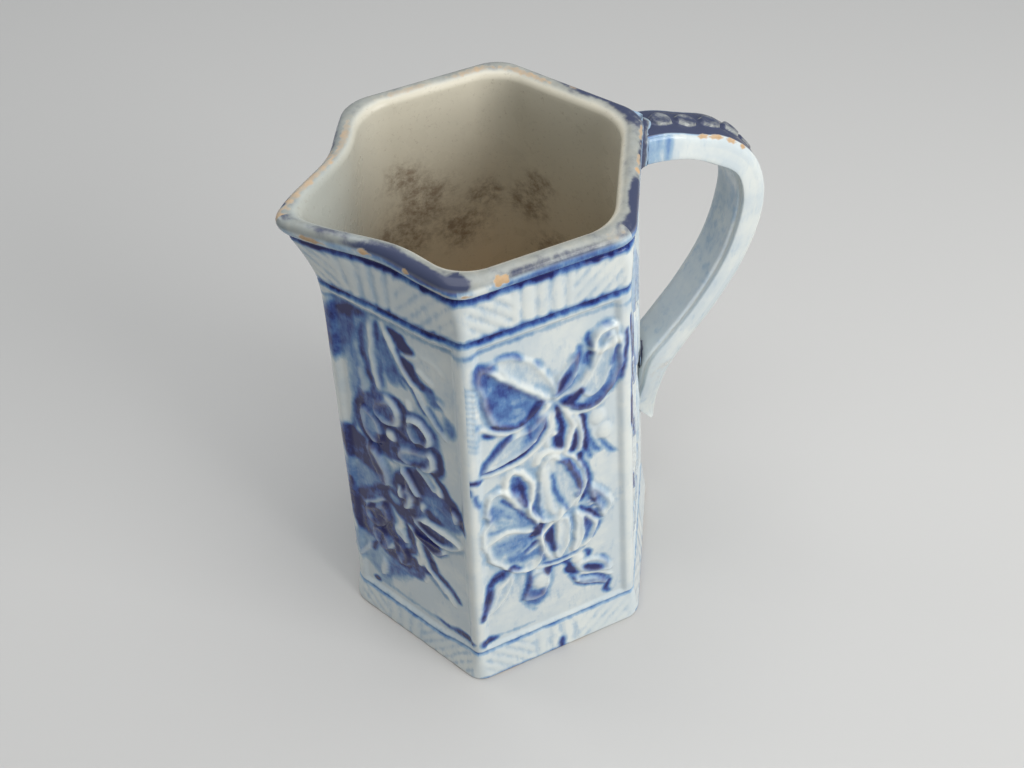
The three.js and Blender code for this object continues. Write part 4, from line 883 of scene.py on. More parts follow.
def iris_leaves(f):
    """Leaves and stems under the iris"""
    f.wash(-17.4, 73, -10, 76, -5, 73, 0, 70, 3, 68.4, 3, 70.6, 1.6, 66, -1, 62,
           -4, 61, -8, 66, -13, 68, blue=0.82, soft=2.0)
    f.stroke(-9, 73.6, -12, 71.6, -15, 69, -18, 65.6, -20.4, 62.4, wide=4.2, blue=1.0)
    f.wash(-8.4, 72, -5.4, 71.6, -5, 68.6, -7.6, 67.8, blue=0.3, soft=1.6)
    f.lobe(2.6, 69.8, 8, 71, 14, 70.6, 18.6, 69.8, 19.2, 67.6, 17, 64.8, 13.2, 62.3, 9, 61.8, 5, 63.4,
           0.6, 66.2, level=0.8, blue=0.16, dish=0.5)
    f.wash(2.4, 67.4, 7, 67.6, 12.4, 67.8, 13.4, 66, 12, 64, 9, 63.4, 5, 64.6, blue=1.0, soft=1.0)
    f.wash(12, 68, 15, 67.4, 15.6, 65.6, 12.6, 65, blue=0.6, soft=1.4)
    f.ridge(3.4, 69, 8, 70.3, 14, 69.9, 18, 69.1, 18.6, 67.8, wide=1.9, high=0.7, cream=0.42)
    f.ridge(18.6, 68.4, 17.4, 65.8, 14.6, 63.6, 12.8, 62.7, wide=1.1, high=0.7, cream=0.8)
    f.ridge(-0.2, 67.3, 3, 65.2, 6, 63.3, 9.6, 62.1, 13, 62.7, wide=0.9, high=0.6, cream=0.75)
    f.lobe(-1.6, 61.8, 3, 61, 10, 61.4, 12.8, 61.4, 12.4, 58.6, 9.4, 55.4, 7, 54.8, 3.6, 56.6, 0.4, 59,
           level=0.8, blue=0.5, dish=0.5)
    f.wash(-1.4, 63.6, 3, 63, 9, 61.8, 11, 60.5, 9.6, 57.4, 7.5, 56, 4, 57.4, 1, 60, blue=1.0, soft=1.0)
    f.ridge(12.8, 61.6, 11.9, 59.2, 10.6, 57.3, 9.2, 56.2, wide=1.3, high=0.7, cream=0.8)
    f.ridge(-2, 61.4, 0, 59, 1.6, 56.8, wide=1.2, high=0.5, cream=0.4)
    f.stroke(8, 55, 9.8, 55.6, 12.4, 59, wide=1.3, blue=0.85)
    # Mottled mass at the lower left, with lights standing out of it
    f.wash(-16, 67, -10, 67, -7.6, 60, -8, 52.6, -5, 49, -3, 45, 0, 44, 2, 39, -1, 35, -5, 30.5, -8, 31.5,
           -13, 34, -16, 34, -19, 33.5, -22, 37, -24.8, 44, -25.6, 52, -25, 60, -22, 66, blue=0.86,
           soft=2.8)
    f.wash(-1, 44, 4, 43, 4.6, 39, 2.4, 35, -2, 33, -5, 36, blue=0.72, soft=2.0)
    f.wash(-25.6, 76, -18, 78, -11, 75, -14, 71, -19, 66, -24, 62, -26, 68, blue=0.32, soft=3.0)
    f.stroke(-23.8, 68, -24.8, 60, -24.6, 50, -23.4, 42, wide=3.4, blue=0.95)
    f.lobe(-20.4, 56, -16, 60, -11.2, 64.6, -9.4, 60, -10.4, 54, -14.6, 49, -19, 50, level=0.9, blue=0.72,
           dish=0.3)
    f.lobe(-18, 48, -13.4, 48.6, -10.8, 45, -11, 40, -14.6, 37.6, -18, 41.6, level=0.8, blue=0.72, dish=0.3)
    f.lobe(-8.8, 47.6, -5.6, 48, -3, 43.6, -3.6, 38, -7, 36.4, -9, 41, level=0.8, blue=0.74, dish=0.3)
    for u, z, blue in (
        (-17.6, 55, 0.4), (-19, 47, 0.46), (-16.4, 41, 0.5), (-6.4, 39.4, 0.5), (-3.6, 36, 0.5),
        (-14, 62, 0.46), (-10.6, 44.6, 0.44),
    ):
        f.wash(u - 1.8, z - 1.6, u, z - 4, u + 1.8, z + 0.6, u, z + 4, blue=blue, soft=2.6)
    for points in (
        (-23.6, 60, -24.2, 54, -23, 46, -21, 40), (-13.6, 57, -13, 50, -14, 44, -15.4, 39),
        (-17.4, 39, -16.6, 36.4, -15.6, 33), (-8, 48.6, -7.8, 43, -9, 38.6), (-9.6, 56, -11, 52, -11.6, 47),
        (-3.6, 44, -3.8, 40.6, -6, 37.4), (-1.6, 38.6, -5, 36, -8.6, 34), (-16.8, 59.6, -17.4, 56, -16.4, 53),
    ):
        f.stroke(*points, wide=2.6, blue=0.92)
    f.stroke(-18.6, 58.6, -15, 59.6, -12.6, 57, -11, 53.4, wide=2.8, blue=0.95)
    f.ridge(-20, 57.4, -17, 60.6, -14, 63.6, -10.6, 67, wide=1.1, high=0.7, cream=0.5)
    f.ridge(-9.5, 44.6, -10.1, 42.6, -11, 40.8, wide=1.7, high=0.7, cream=0.5)
    f.ridge(-4.2, 62.4, -4.8, 59.6, -5.4, 57, -6, 54.6, wide=2.0, high=0.7, cream=0.6)
    f.lobe(-7.4, 57.4, -4.4, 57, -2.4, 53.6, -2.9, 50.4, -6, 52.4, -7.6, 54, level=1.1, blue=0.14,
           cream=0.3)
    f.wash(-6, 52, -3.4, 50.6, -4.6, 47, -7, 49, blue=0.7, soft=1.6)
    f.stroke(-2.6, 60.4, -1.2, 55.4, -0.7, 50, -1.8, 47, -4.6, 44.6, wide=3.0, blue=1.0)
    # Stems running down to the right
    f.stroke(3.6, 55.6, 5.3, 51, 6.6, 47, 8.8, 44.4, 12, 42.6, 14.6, 40.4, 17.2, 36.2, wide=2.9, blue=0.85)
    f.stroke(5, 54, 6.4, 50, 8.4, 46.4, wide=2.6, blue=0.95)
    f.ridge(1.4, 56, 2.2, 52, 2.7, 49, 2.2, 46, 1.5, 43, wide=2.3, high=1.0, cream=0.5)
    f.ridge(3.4, 46.4, 6, 43.6, 8.5, 41, 10.6, 39.4, 12, 38.4, 14.6, 34.6, 15.8, 32.2, wide=2.1, high=0.9,
            cream=0.36)
    f.lobe(9.4, 40.6, 11.6, 41, 13.2, 38.6, 11.6, 36.8, 9.8, 38, level=1.0, blue=0.1, cream=0.4)
    f.ridge(4.3, 40.4, 4.1, 37.2, 3, 34.4, wide=1.6, high=0.6, cream=0.5)
    f.stroke(5, 41.4, 6.8, 38.4, 9.6, 35.8, 12.4, 33.6, wide=1.8, blue=0.3)
    f.stroke(3, 43, 4, 41.8, 5.4, 41.2, wide=1.6, blue=0.8)
    # Pale leaves at the foot, in a thin wash
    f.wash(-26, 40, -18, 39, -11, 35, -4, 32, -6, 27, -11, 23, -13, 18.6, -17, 18, -22, 23, -27, 27,
           blue=0.18, soft=4.0)
    f.wash(-11.6, 34, -5, 33, -7, 28.6, -11, 25, -13, 28, blue=0.4, soft=2.6)
    f.lobe(-22.4, 28.4, -20.4, 31.6, -19, 36.4, -20.9, 35, -23, 31, -25.4, 26.6, -24.6, 25, level=0.8,
           blue=0.1, cream=0.3)
    f.lobe(-15.2, 32.2, -12.9, 30, -13.3, 26, -14.5, 22, -16.6, 20.6, -17.2, 24, -15.9, 28.4, level=0.8,
           blue=0.06, cream=0.4)
    f.stroke(-17.6, 38, -18.4, 35, -19.6, 32, wide=2.2, blue=0.9)
    f.stroke(-12, 30.6, -11.6, 27.6, -12.6, 24, -14, 20.6, wide=2.6, blue=0.56)
    f.stroke(-11, 30, -7, 32, -3, 31.6, wide=2.2, blue=0.5)
    f.wash(6.6, 17.4, 13, 18, 18, 20.4, 24, 19.8, 21, 17.2, 15, 16.4, 9, 16.4, blue=0.82, soft=1.8)
    f.wash(-18, 17, -6, 16.4, 6, 17.6, 6, 16, -6, 15, -18, 15.2, blue=0.16, soft=2.2)
    f.bead(-19.5, 14.6, 1.6, 1.7, high=0.0, cream=0.0, blue=0.9)


def reed_face(f):
    """The two walls beside the handle: tall rushes with dark leaves, plain towards the foot"""
    for u, low in ((-21.6, 24), (-18.4, 46), (-15.4, 78)):
        f.stroke(u, 142, u + 0.9, 124, u - 0.7, 104, u + 0.6, 90, u - 0.4, low, wide=2.5, blue=1.0)
        f.ridge(u + 1.6, 140, u + 2.4, 122, u + 0.9, 103, u + 2.2, 88, u + 1.2, low, wide=1.3, high=0.5,
                cream=0.7)
    for u, top, low in ((-13, 132, 44), (-4, 140, 30), (6, 136, 38), (14, 126, 52)):
        middle = (top + low) / 2
        f.ridge(u, top, u + 1.2, middle + 12, u - 0.8, middle - 8, u * 0.6, low, wide=1.8, high=0.8,
                cream=0.7)
        f.stroke(u + 2, top - 2, u + 3, middle + 10, u + 1.2, middle - 6, wide=1.8, blue=0.85)
        f.lobe(u - 1.6, top - 6, u, top + 6, u + 1.8, top - 6, u + 1.4, top - 15, u - 1.2, top - 15,
               level=1.2, blue=0.6, cream=0.5, dish=0)
    for u, z, side in (
        (-9, 112, -1), (-2, 104, 1), (9, 98, 1), (-6, 84, -1), (4, 72, 1), (-10, 62, -1), (10, 58, 1),
    ):
        f.lobe(u, z - 12, u + 4.5 * side, z - 5, u + 8.5 * side, z + 9, u + 4 * side, z + 4,
               u + 0.6 * side, z - 4, level=0.9, blue=0.55, cream=0.5)
        f.stroke(u + 0.6 * side, z - 10, u + 4.6 * side, z - 1, u + 7.6 * side, z + 7, wide=1.6, blue=0.95)
        f.ridge(u + 0.2 * side, z - 12, u + 2.4 * side, z - 2, u + 8 * side, z + 9.4, wide=0.9, high=0.5,
                cream=0.8)
    for u, z in ((-12, 34), (-5, 27), (4, 29), (12, 36)):
        f.lobe(u, z + 9, u + 2.6, z + 2, u + 1, z - 6, u - 1.4, z - 5, u - 2.4, z + 2, level=0.8, blue=0.25,
               cream=0.6)
        f.stroke(u, z + 8, u + 0.4, z, u - 0.4, z - 5, wide=1.2, blue=0.7)


DESIGNS = {0: iris_face, 1: peony_face, 2: reed_face, 3: reed_face, 4: peony_face, 5: iris_face}

# Chips through the glaze on the roll of the rim: wall, u, degrees over the roll, half width, half turn,
# and how bare the clay is
RIM_CHIPS = (
    (1, -11.2, 25, 2.3, 34, 1.0), (0, -24.0, 5, 3.4, 40, 0.85), (0, -13.8, 2, 3.4, 26, 0.7),
    (0, -3.6, 14, 2.0, 20, 0.8), (0, 7.7, 12, 1.6, 18, 0.75), (0, 16.5, -12, 4.4, 12, 0.5),
    (2, 14.0, 40, 4.6, 18, 0.6), (2, 3.5, 44, 3.0, 16, 0.6), (2, -0.6, 44, 1.4, 20, 0.9),
    (5, 9, 96, 13, 34, 0.5), (5, -7, 100, 10, 28, 0.46), (4, 6, 108, 9, 24, 0.4),
    (4, -12, 104, 8, 26, 0.46), (3, 12, 104, 11, 24, 0.5), (5, 21, 60, 3.6, 50, 0.62),
    (1, -19.5, -10, 1.6, 12, 0.7), (1, 17.5, 60, 3.0, 30, 0.3), (5, 1, 60, 3.0, 26, 0.5),
    (3, -2, 70, 2.0, 20, 0.5),
)
# Pools of cobalt on the roll: wall, u, degrees over the roll, half width, half turn, strength
RIM_POOLS = (
    (1, 4, -14, 19, 44, 0.56), (1, 6, 5, 14, 36, 0.56), (1, 0, 40, 20, 34, 0.36),
    (1, 19.2, 60, 3.2, 50, 0.42), (1, -21, 60, 4, 60, 0.72), (0, 9, 40, 18, 60, 0.78),
    (0, 21, 60, 4.5, 80, 0.76), (0, 1, 60, 8, 60, 0.42), (0, -9, 90, 8, 40, 0.3),
    (0, -22, 100, 6, 50, 0.36), (5, 19, 50, 7, 50, 0.46), (5, -8, 20, 16, 50, 0.4),
    (2, -10, 40, 9, 60, 0.76), (2, -19, 40, 6, 60, 0.6), (2, 19, 60, 6, 70, 0.6),
    (2, 7, 20, 10, 40, 0.46), (3, -7, 50, 12, 60, 0.6), (3, -18, 60, 8, 60, 0.6),
    (3, 14, 20, 10, 40, 0.4), (4, 8, 20, 18, 50, 0.4),
)
# Chips along the handle's near edge: length from the rim, cosine of the angle round the strap, half length
HANDLE_CHIPS = ((22, 0.62, 3.4), (27.5, 0.6, 2.6), (17.5, 0.62, 2.2), (33, 0.62, 1.4))
# Brown stains on the inner walls across from the camera: wall, u, z and reach
STAINS = (
    (4, 10, 142, 11), (4, 5, 132, 17), (4, 13, 120, 18), (3, 12, 126, 12),
    (4, -6, 118, 15), (3, 2, 108, 16), (3, 8, 134, 9), (4, -14, 128, 10),
)


def rim_paint(k, grid, section):
    """Cobalt and chips over the rows of the roll"""
    u = grid.u[section.roll]
    turn = np.degrees(section.turn)[:, None]
    cobalt = 0.14 + 0.05 * np.sin(u * 0.5 + k) + 0.04 * np.sin(u * 1.3 + turn * 0.05)
    chip = np.zeros_like(u)
    for wall, at, degrees, half, half_turn, strength in RIM_POOLS:
        if wall == k:
            far = np.hypot((u - at) / half, (turn - degrees) / half_turn)
            cobalt = np.maximum(cobalt, strength * (1 - smooth((far - 0.35) / 0.9)))
    for wall, at, degrees, half, half_turn, bare in RIM_CHIPS:
        if wall == k:
            ragged = 0.16 * np.sin(u * 2.9 + at) + 0.12 * np.sin(turn * 0.21 + u * 1.7)
            far = np.hypot((u - at) / half, (turn - degrees) / half_turn) + ragged
            chip = np.maximum(chip, bare * (1 - smooth((far - 0.5) / 0.6)))
    line = bump(turn + 50, 26)
    return np.maximum(cobalt, 0.85 * line) * (1 - chip), chip


# Meshes

def grid_object(name, places, paint, ends=True, around=False):
    """A closed object from a grid of places in millimetres: its first and last rows are bridged, or
    with around its first and last columns are joined, and what stays open is filled"""
    rows, columns = places.shape[:2]
    bm = bmesh.new()
    bmesh.ops.create_grid(bm, x_segments=columns - 1, y_segments=rows - 1, size=1)
    bm.verts.ensure_lookup_table()
    column = [round((v.co.x + 1) / 2 * (columns - 1)) for v in bm.verts]
    row = [round((v.co.y + 1) / 2 * (rows - 1)) for v in bm.verts]
    if ends:
        boundary = [e for e in bm.edges if e.is_boundary]
        loops = [e for e in boundary if row[e.verts[0].index] == row[e.verts[1].index]]
        bmesh.ops.bridge_loops(bm, edges=loops)
    mesh = bpy.data.meshes.new(name)
    bm.to_mesh(mesh)
    bm.free()
    pick = (np.array(row), np.array(column))
    mesh.vertices.foreach_set("co", (places[pick] * MM).astype(np.float32).ravel())
    for key, values in paint.items():
        layer = mesh.attributes.new(key, "FLOAT", "POINT")
        layer.data.foreach_set("value", values[pick].astype(np.float32))
    bm = bmesh.new()
    bm.from_mesh(mesh)
    if around:
        bmesh.ops.remove_doubles(bm, verts=bm.verts, dist=1e-7)
    open_edges = [e for e in bm.edges if e.is_boundary]
    bmesh.ops.holes_fill(bm, edges=open_edges, sides=0)
    for e in open_edges:
        e.smooth = False
    for face in bm.faces:
        face.smooth = True
    bmesh.ops.recalc_face_normals(bm, faces=bm.faces)
    bm.to_mesh(mesh)
    bm.free()
    piece = bpy.data.objects.new(name, mesh)
    bpy.context.scene.collection.objects.link(piece)
    return piece


def settle(piece, slot, *nodes):
    """Rides the piece on the jug's one body and hides the nodes that it stands for"""
    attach(piece, "root")
    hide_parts(*nodes)


def make_wall(k, settings):
    """One of the six walls, counted from the left of the spout round to its right"""
    spacing = settings.spacing / MM
    section = Section(spacing)
    grid = WallGrid(k, section, spacing)
    face = Face(grid, k)
    banding(face, k)
    DESIGNS[k](face)
    relief, cobalt, cream = face.finished()
    relief = relief * face.off_corners(0.4) * settings.relief
    rows = section.outer_rows
    paint = {key: np.zeros(grid.u.shape) for key in ("cobalt", "cream", "chip")}
    paint["inside"] = np.broadcast_to(section.inside[:, None], grid.u.shape)
    paint["cobalt"][:rows] = cobalt
    paint["cream"][:rows] = cream
    paint["cobalt"][section.roll], paint["chip"][section.roll] = rim_paint(k, grid, section)
    wall = grid_object(WALLS[k] + "_glazed", grid.places(relief), paint)
    settle(wall, "relief_glaze", WALLS[k])
    return wall


def strap_curve(points, t):
    """Points of the frame's centripetal curve through an outline of the handle"""
    p = np.array(points, float)
    p = np.concatenate([2 * p[:1] - p[1:2], p, 2 * p[-1:] - p[-2:-1]])
    span = np.clip(t, 0, 1) * (len(points) - 1)
    i = np.minimum(span.astype(int), len(points) - 2)
    w = (span - i)[:, None]
    p0, p1, p2, p3 = p[i], p[i + 1], p[i + 2], p[i + 3]
    spans = ((p0, p1), (p1, p2), (p2, p3))
    gap = [np.maximum(((b - a) ** 2).sum(1) ** 0.25, 1e-4)[:, None] for a, b in spans]
    t1 = ((p1 - p0) / gap[0] - (p2 - p0) / (gap[0] + gap[1]) + (p2 - p1) / gap[1]) * gap[1]
    t2 = ((p2 - p1) / gap[1] - (p3 - p1) / (gap[1] + gap[2]) + (p3 - p2) / gap[2]) * gap[1]
    c2 = -3 * p1 + 3 * p2 - 2 * t1 - t2
    c3 = 2 * p1 - 2 * p2 + t1 + t2
    return p1 + t1 * w + c2 * w ** 2 + c3 * w ** 3


def squared(wave):
    """A sine or cosine that gives a square with rounded corners instead of a circle"""
    return np.sign(wave) * np.abs(wave) ** STRAP_SQUARENESS


def strap_places(t, angle, lift=0.0):
    """Points on the strap's skin for arrays t along it and angle round its section, in millimetres"""
    out = strap_curve(HANDLE_OUTER, t.ravel()).reshape(*t.shape, 2)
    inn = strap_curve(HANDLE_INNER, t.ravel()).reshape(*t.shape, 2)
    middle = (out + inn) / 2
    across = out - inn
    half_thick = np.hypot(across[..., 0], across[..., 1]) / 2
    across = across / (2 * half_thick[..., None])
    half_width = mix(HANDLE_WIDTH, TAIL_WIDTH, smooth((t - TAIL_START) / (1 - TAIL_START))) / 2
    sideways, outwards = squared(np.sin(angle)), squared(np.cos(angle))
    y = sideways * (half_width * (1 - STRAP_NARROWING * (1 + outwards) / 2) + lift)
    hollow = np.where(outwards < 0, STRAP_HOLLOW * (1 - sideways ** 2), 0)
    d = outwards * (half_thick + lift) + hollow
    spot = middle + across * d[..., None]
    return np.stack([spot[..., 0], y, spot[..., 1]], -1)


def strap_angles(count):
    """Angles round the section that give even steps on a rounded square"""
    even = np.linspace(0, 2 * math.pi, 721)
    path = np.stack([squared(np.sin(even)), squared(np.cos(even))], -1)
    far = np.concatenate([[0], np.cumsum(np.hypot(*np.diff(path, axis=0).T))])
    return np.interp(np.linspace(0, far[-1], count), far, even)


def make_handle(settings):
    """The strap with its row of scales, its bevels, the cobalt and the chips along its near edge"""
    rows, columns = 420, 121
    t = np.linspace(0.035, 1, rows)[:, None] + np.zeros((1, columns))
    angle = strap_angles(columns)[None, :] + np.zeros((rows, 1))
    plain = strap_places(t, angle)
    step = np.gradient(plain[:, 0], axis=0)
    length = np.concatenate([[0], np.cumsum(np.hypot(step[1:, 0], step[1:, 2]))])[:, None]
    y = plain[..., 1]
    sine, cosine = np.sin(angle), np.cos(angle)
    on_top, on_inside = [
        smooth((np.clip(way, 0, 1) ** STRAP_SQUARENESS - 0.8) / 0.15) for way in (cosine, -cosine)
    ]
    lift = np.full(t.shape, -STRAP_SINK)
    cobalt = np.zeros(t.shape)
    chip = np.zeros(t.shape)
    # Row of scales on the outer face, in a band of cobalt: proud of it at the top, then only cut in
    place = FIRST_SCALE
    for i in range(SCALE_COUNT):
        far = np.hypot((length - place) / (settings.scale_length / MM / 2), y / SCALE_HALF_WIDTH)
        scale = smooth((1.1 - far) / 0.4) * on_top
        proud = 1.05 - 0.95 * smooth((i - 3) / 2)
        lift += proud * scale * (1 - 0.3 * smooth((0.6 - far) / 0.6))
        fading = smooth((9.5 - i) / 4)
        cobalt = np.maximum(cobalt, 0.98 * bump(far - 1.3, 0.5) * on_top * fading)
        cobalt = np.maximum(cobalt, (0.42 + 0.12 * bump(far, 0.5)) * scale * fading)
        place += SCALE_PITCH
    band = on_top * smooth((6.0 - np.abs(y)) / 1.2) * smooth((place - 6 - length) / 20)
    uneven = 0.92 + 0.08 * np.sin(length * 0.9 + y)
    cobalt = np.maximum(cobalt, uneven * band * smooth((np.abs(y) - 2.4) / 0.6))
    # Bevels: a rounded ridge along both edges of the outer face and of the hollow inner face
    edge = np.abs(np.abs(sine) - np.abs(cosine))
    bevel = 1 - smooth(edge / 0.32)
    lift += np.where(cosine > 0, 0.25 * bevel, -0.9 * (1 - smooth(edge / 0.6)))
    middle_side = bump(cosine - 0.02, 0.05) * (np.abs(sine) > 0.9)
    cream = np.maximum(0.8 * bevel, 0.35 * middle_side) * smooth((length - 14) / 10)
    # A patch of cobalt beside the upper joint, a thin wash in the hollow that is partly painted shade there,
    # and a pool along the joint
    cobalt = np.maximum(cobalt, 0.34 * bump(cosine - 0.2, 0.9) * bump(length - 6, 2.6))
    cobalt = np.maximum(cobalt, (0.02 + 0.04 * bump(length - 70, 30)) * on_inside)
    cobalt = np.maximum(cobalt, 0.7 * smooth((7 - length) / 5) * (0.35 + 0.65 * on_top))
    for at, level, half in HANDLE_CHIPS:
        far = np.hypot((length - at) / half, (cosine - level) / 0.22)
        ragged = 0.2 * np.sin(length * 3.1) * np.sin(angle * 19)
        chip = np.maximum(chip, 0.8 * (1 - smooth((far + ragged - 0.5) / 0.6)) * (y < 0))
    worn = smooth((length - 118) / 8) * smooth((139 - length) / 8) * bump(cosine - 0.2, 0.8)
    chip = np.maximum(chip, 0.3 * worn)
    places = strap_places(t, angle, lift=lift)
    places[:, -1] = places[:, 0]
    paint = {"cobalt": cobalt * (1 - chip), "cream": cream * (1 - chip), "chip": chip, "inside": 0.5 * band}
    handle = grid_object("handle_glazed", places, paint, ends=False, around=True)
    settle(handle, "handle_glaze", "handle")
    return handle


def outside_body(points):
    """Distance of points outside the two walls that meet at the handle's corner, and the outward normal"""
    z = points[..., 2].ravel()
    corners = corners_at(z)
    flat = points[..., :2].reshape(-1, 2)
    far, outward = [], []
    for k in HANDLE_WALLS:
        start, _, inward, _ = side_at(corners, k)
        far.append(((flat - start) * -inward).sum(1))
        outward.append(-inward)
    normal = np.where((far[1] > far[0])[:, None], outward[1], outward[0])
    normal = np.concatenate([normal, np.zeros((len(z), 1))], -1)
    return np.maximum(*far).reshape(points.shape[:-1]), normal.reshape(points.shape)


def unit(v):
    """Vectors brought to length 1"""
    return v / np.maximum(np.linalg.norm(v, axis=-1, keepdims=True), 1e-9)


def eased(v):
    """Directions round a closed line, each brought nearer to its neighbours"""
    return unit(np.roll(v, 1, 0) + v + np.roll(v, -1, 0))


def square_to(v, normal):
    """The part of v that is square to the normal, brought to length 1"""
    return unit(v - (v * normal).sum(-1, keepdims=True) * normal)


def make_luting(name, node, spokes, width):
    """A fillet of slip along the line where the strap's skin meets the wall. The spokes are arrays of
    t and angle, one row each, that start inside the wall and run out of it."""
    t, angle = spokes
    far, _ = outside_body(strap_places(t, angle))
    hit = np.argmax(far > 0.0, axis=1)
    rows = np.arange(len(hit))
    a, b = far[rows, hit - 1], far[rows, hit]
    w = np.clip(-a / (b - a), 0, 1)
    at_t = mix(t[rows, hit - 1], t[rows, hit], w)
    at_angle = mix(angle[rows, hit - 1], angle[rows, hit], w)
    seam = strap_places(at_t, at_angle)
    strap_out = unit(strap_places(at_t, at_angle, lift=0.5) - seam)
    _, wall_out = outside_body(seam)
    for _ in range(6):
        strap_out, wall_out = eased(strap_out), eased(wall_out)
    lap = np.linspace(0, 2 * math.pi, len(seam))[:, None]
    room = width * (1 + 0.1 * np.sin(3 * lap) + 0.06 * np.sin(7 * lap + 1))
    on_strap = seam + square_to(wall_out, strap_out) * room - strap_out * SLIP_LAP
    on_wall = seam + square_to(strap_out, wall_out) * room - wall_out * SLIP_LAP
    share = np.linspace(0, 1, 11)
    arc = [on_strap * (1 - s) ** 2 + seam * 2 * s * (1 - s) + on_wall * s ** 2 for s in share]
    under = seam - strap_out * SLIP_DEPTH - wall_out * SLIP_DEPTH
    ring = np.stack(arc + [under, arc[0]], 1)
    ring[-1] = ring[0]
    paint = {key: np.zeros(ring.shape[:2]) for key in ("cream", "chip")}
    deep = 1 - np.abs(np.concatenate([share, [0.5, 0]]) * 2 - 1)
    paint["cobalt"] = np.broadcast_to(0.2 + 0.4 * deep, ring.shape[:2])
    paint["inside"] = np.broadcast_to(0.5 * smooth(deep * 2), ring.shape[:2])
    luting = grid_object(name, ring, paint, ends=False, around=True)
    settle(luting, "luting_glaze", node)
    return luting


def upper_spokes():
    """Lines along the strap from inside the rim, all round its section"""
    angle = strap_angles(97)[:, None] + np.zeros((1, 60))
    t = np.linspace(0.0, UPPER_JOINT_END, 60)[None, :] + np.zeros((97, 1))
    return t, angle


def lower_spokes():
    """Lines over the strap's skin from the middle of its buried inner side outwards"""
    lap = np.linspace(0, 2 * math.pi, 121)[:, None]
    reach = np.linspace(0, 1, 90)[None, :]
    t = LOWER_JOINT + LOWER_JOINT_REACH * np.cos(lap) * reach
    angle = math.pi + 1.5 * np.sin(lap) * reach
    return t, angle


def make_base():
    """The slab that closes the bottom: a floor coved up to the walls and a slightly hollow underside"""
    corners = corners_at(np.array([BASE_THICKNESS / 2.0]))
    outline = []
    for k in range(6):
        start, direction, inward, length = [part[0] for part in side_at(corners, k)]
        cots = [half_cot(corners, i)[0] for i in (k, k + 1)]
        radii = [SPOUT_INNER_CORNER if i % 6 == 0 else INNER_CORNER for i in (k, k + 1)]
        first, last = [(WALL + radius * CORNER_DEPTH) * cot for radius, cot in zip(radii, cots)]
        along = mix(first, length - last, np.linspace(0, 1, BASE_COLUMNS, endpoint=False))
        fill = corner_fill(radii[0], along - WALL * cots[0])
        fill = fill + corner_fill(radii[1], length - along - WALL * cots[1])
        outline.append(start + direction * along[:, None] + inward * (WALL + fill - BASE_LAP)[:, None])
    outline = np.concatenate(outline + [outline[0][:1]])
    floor_shares = np.array([0.02, 0.12, 0.25, 0.4, 0.55, 0.68, 0.78, 0.85, 0.9, 0.94, 0.97, 0.99, 1.0])
    cove = COVE_HEIGHT * (1 - np.sqrt(1 - np.clip((floor_shares - 0.9) / 0.1, 0, 1) ** 2))
    floor_heights = BASE_THICKNESS - FLOOR_DISH * (1 - floor_shares ** 2) + cove
    under_shares = floor_shares[::-1]
    under_heights = UNDER_HOLLOW * smooth((0.93 - under_shares) / 0.06)
    shares = np.concatenate([floor_shares, [1.0], under_shares])
    heights = np.concatenate([floor_heights, [BASE_THICKNESS / 2], under_heights])
    places = np.zeros((len(shares), len(outline), 3))
    places[..., :2] = outline[None] * shares[:, None, None]
    places[..., 2] = heights[:, None]
    paint = {key: np.zeros(places.shape[:2]) for key in ("cobalt", "cream", "chip", "inside")}
    paint["inside"][: len(floor_shares)] = 1
    base = grid_object("base_slab_glazed", places, paint, ends=False, around=True)
    settle(base, "base_glaze", "base_slab")
    return base


# Materials

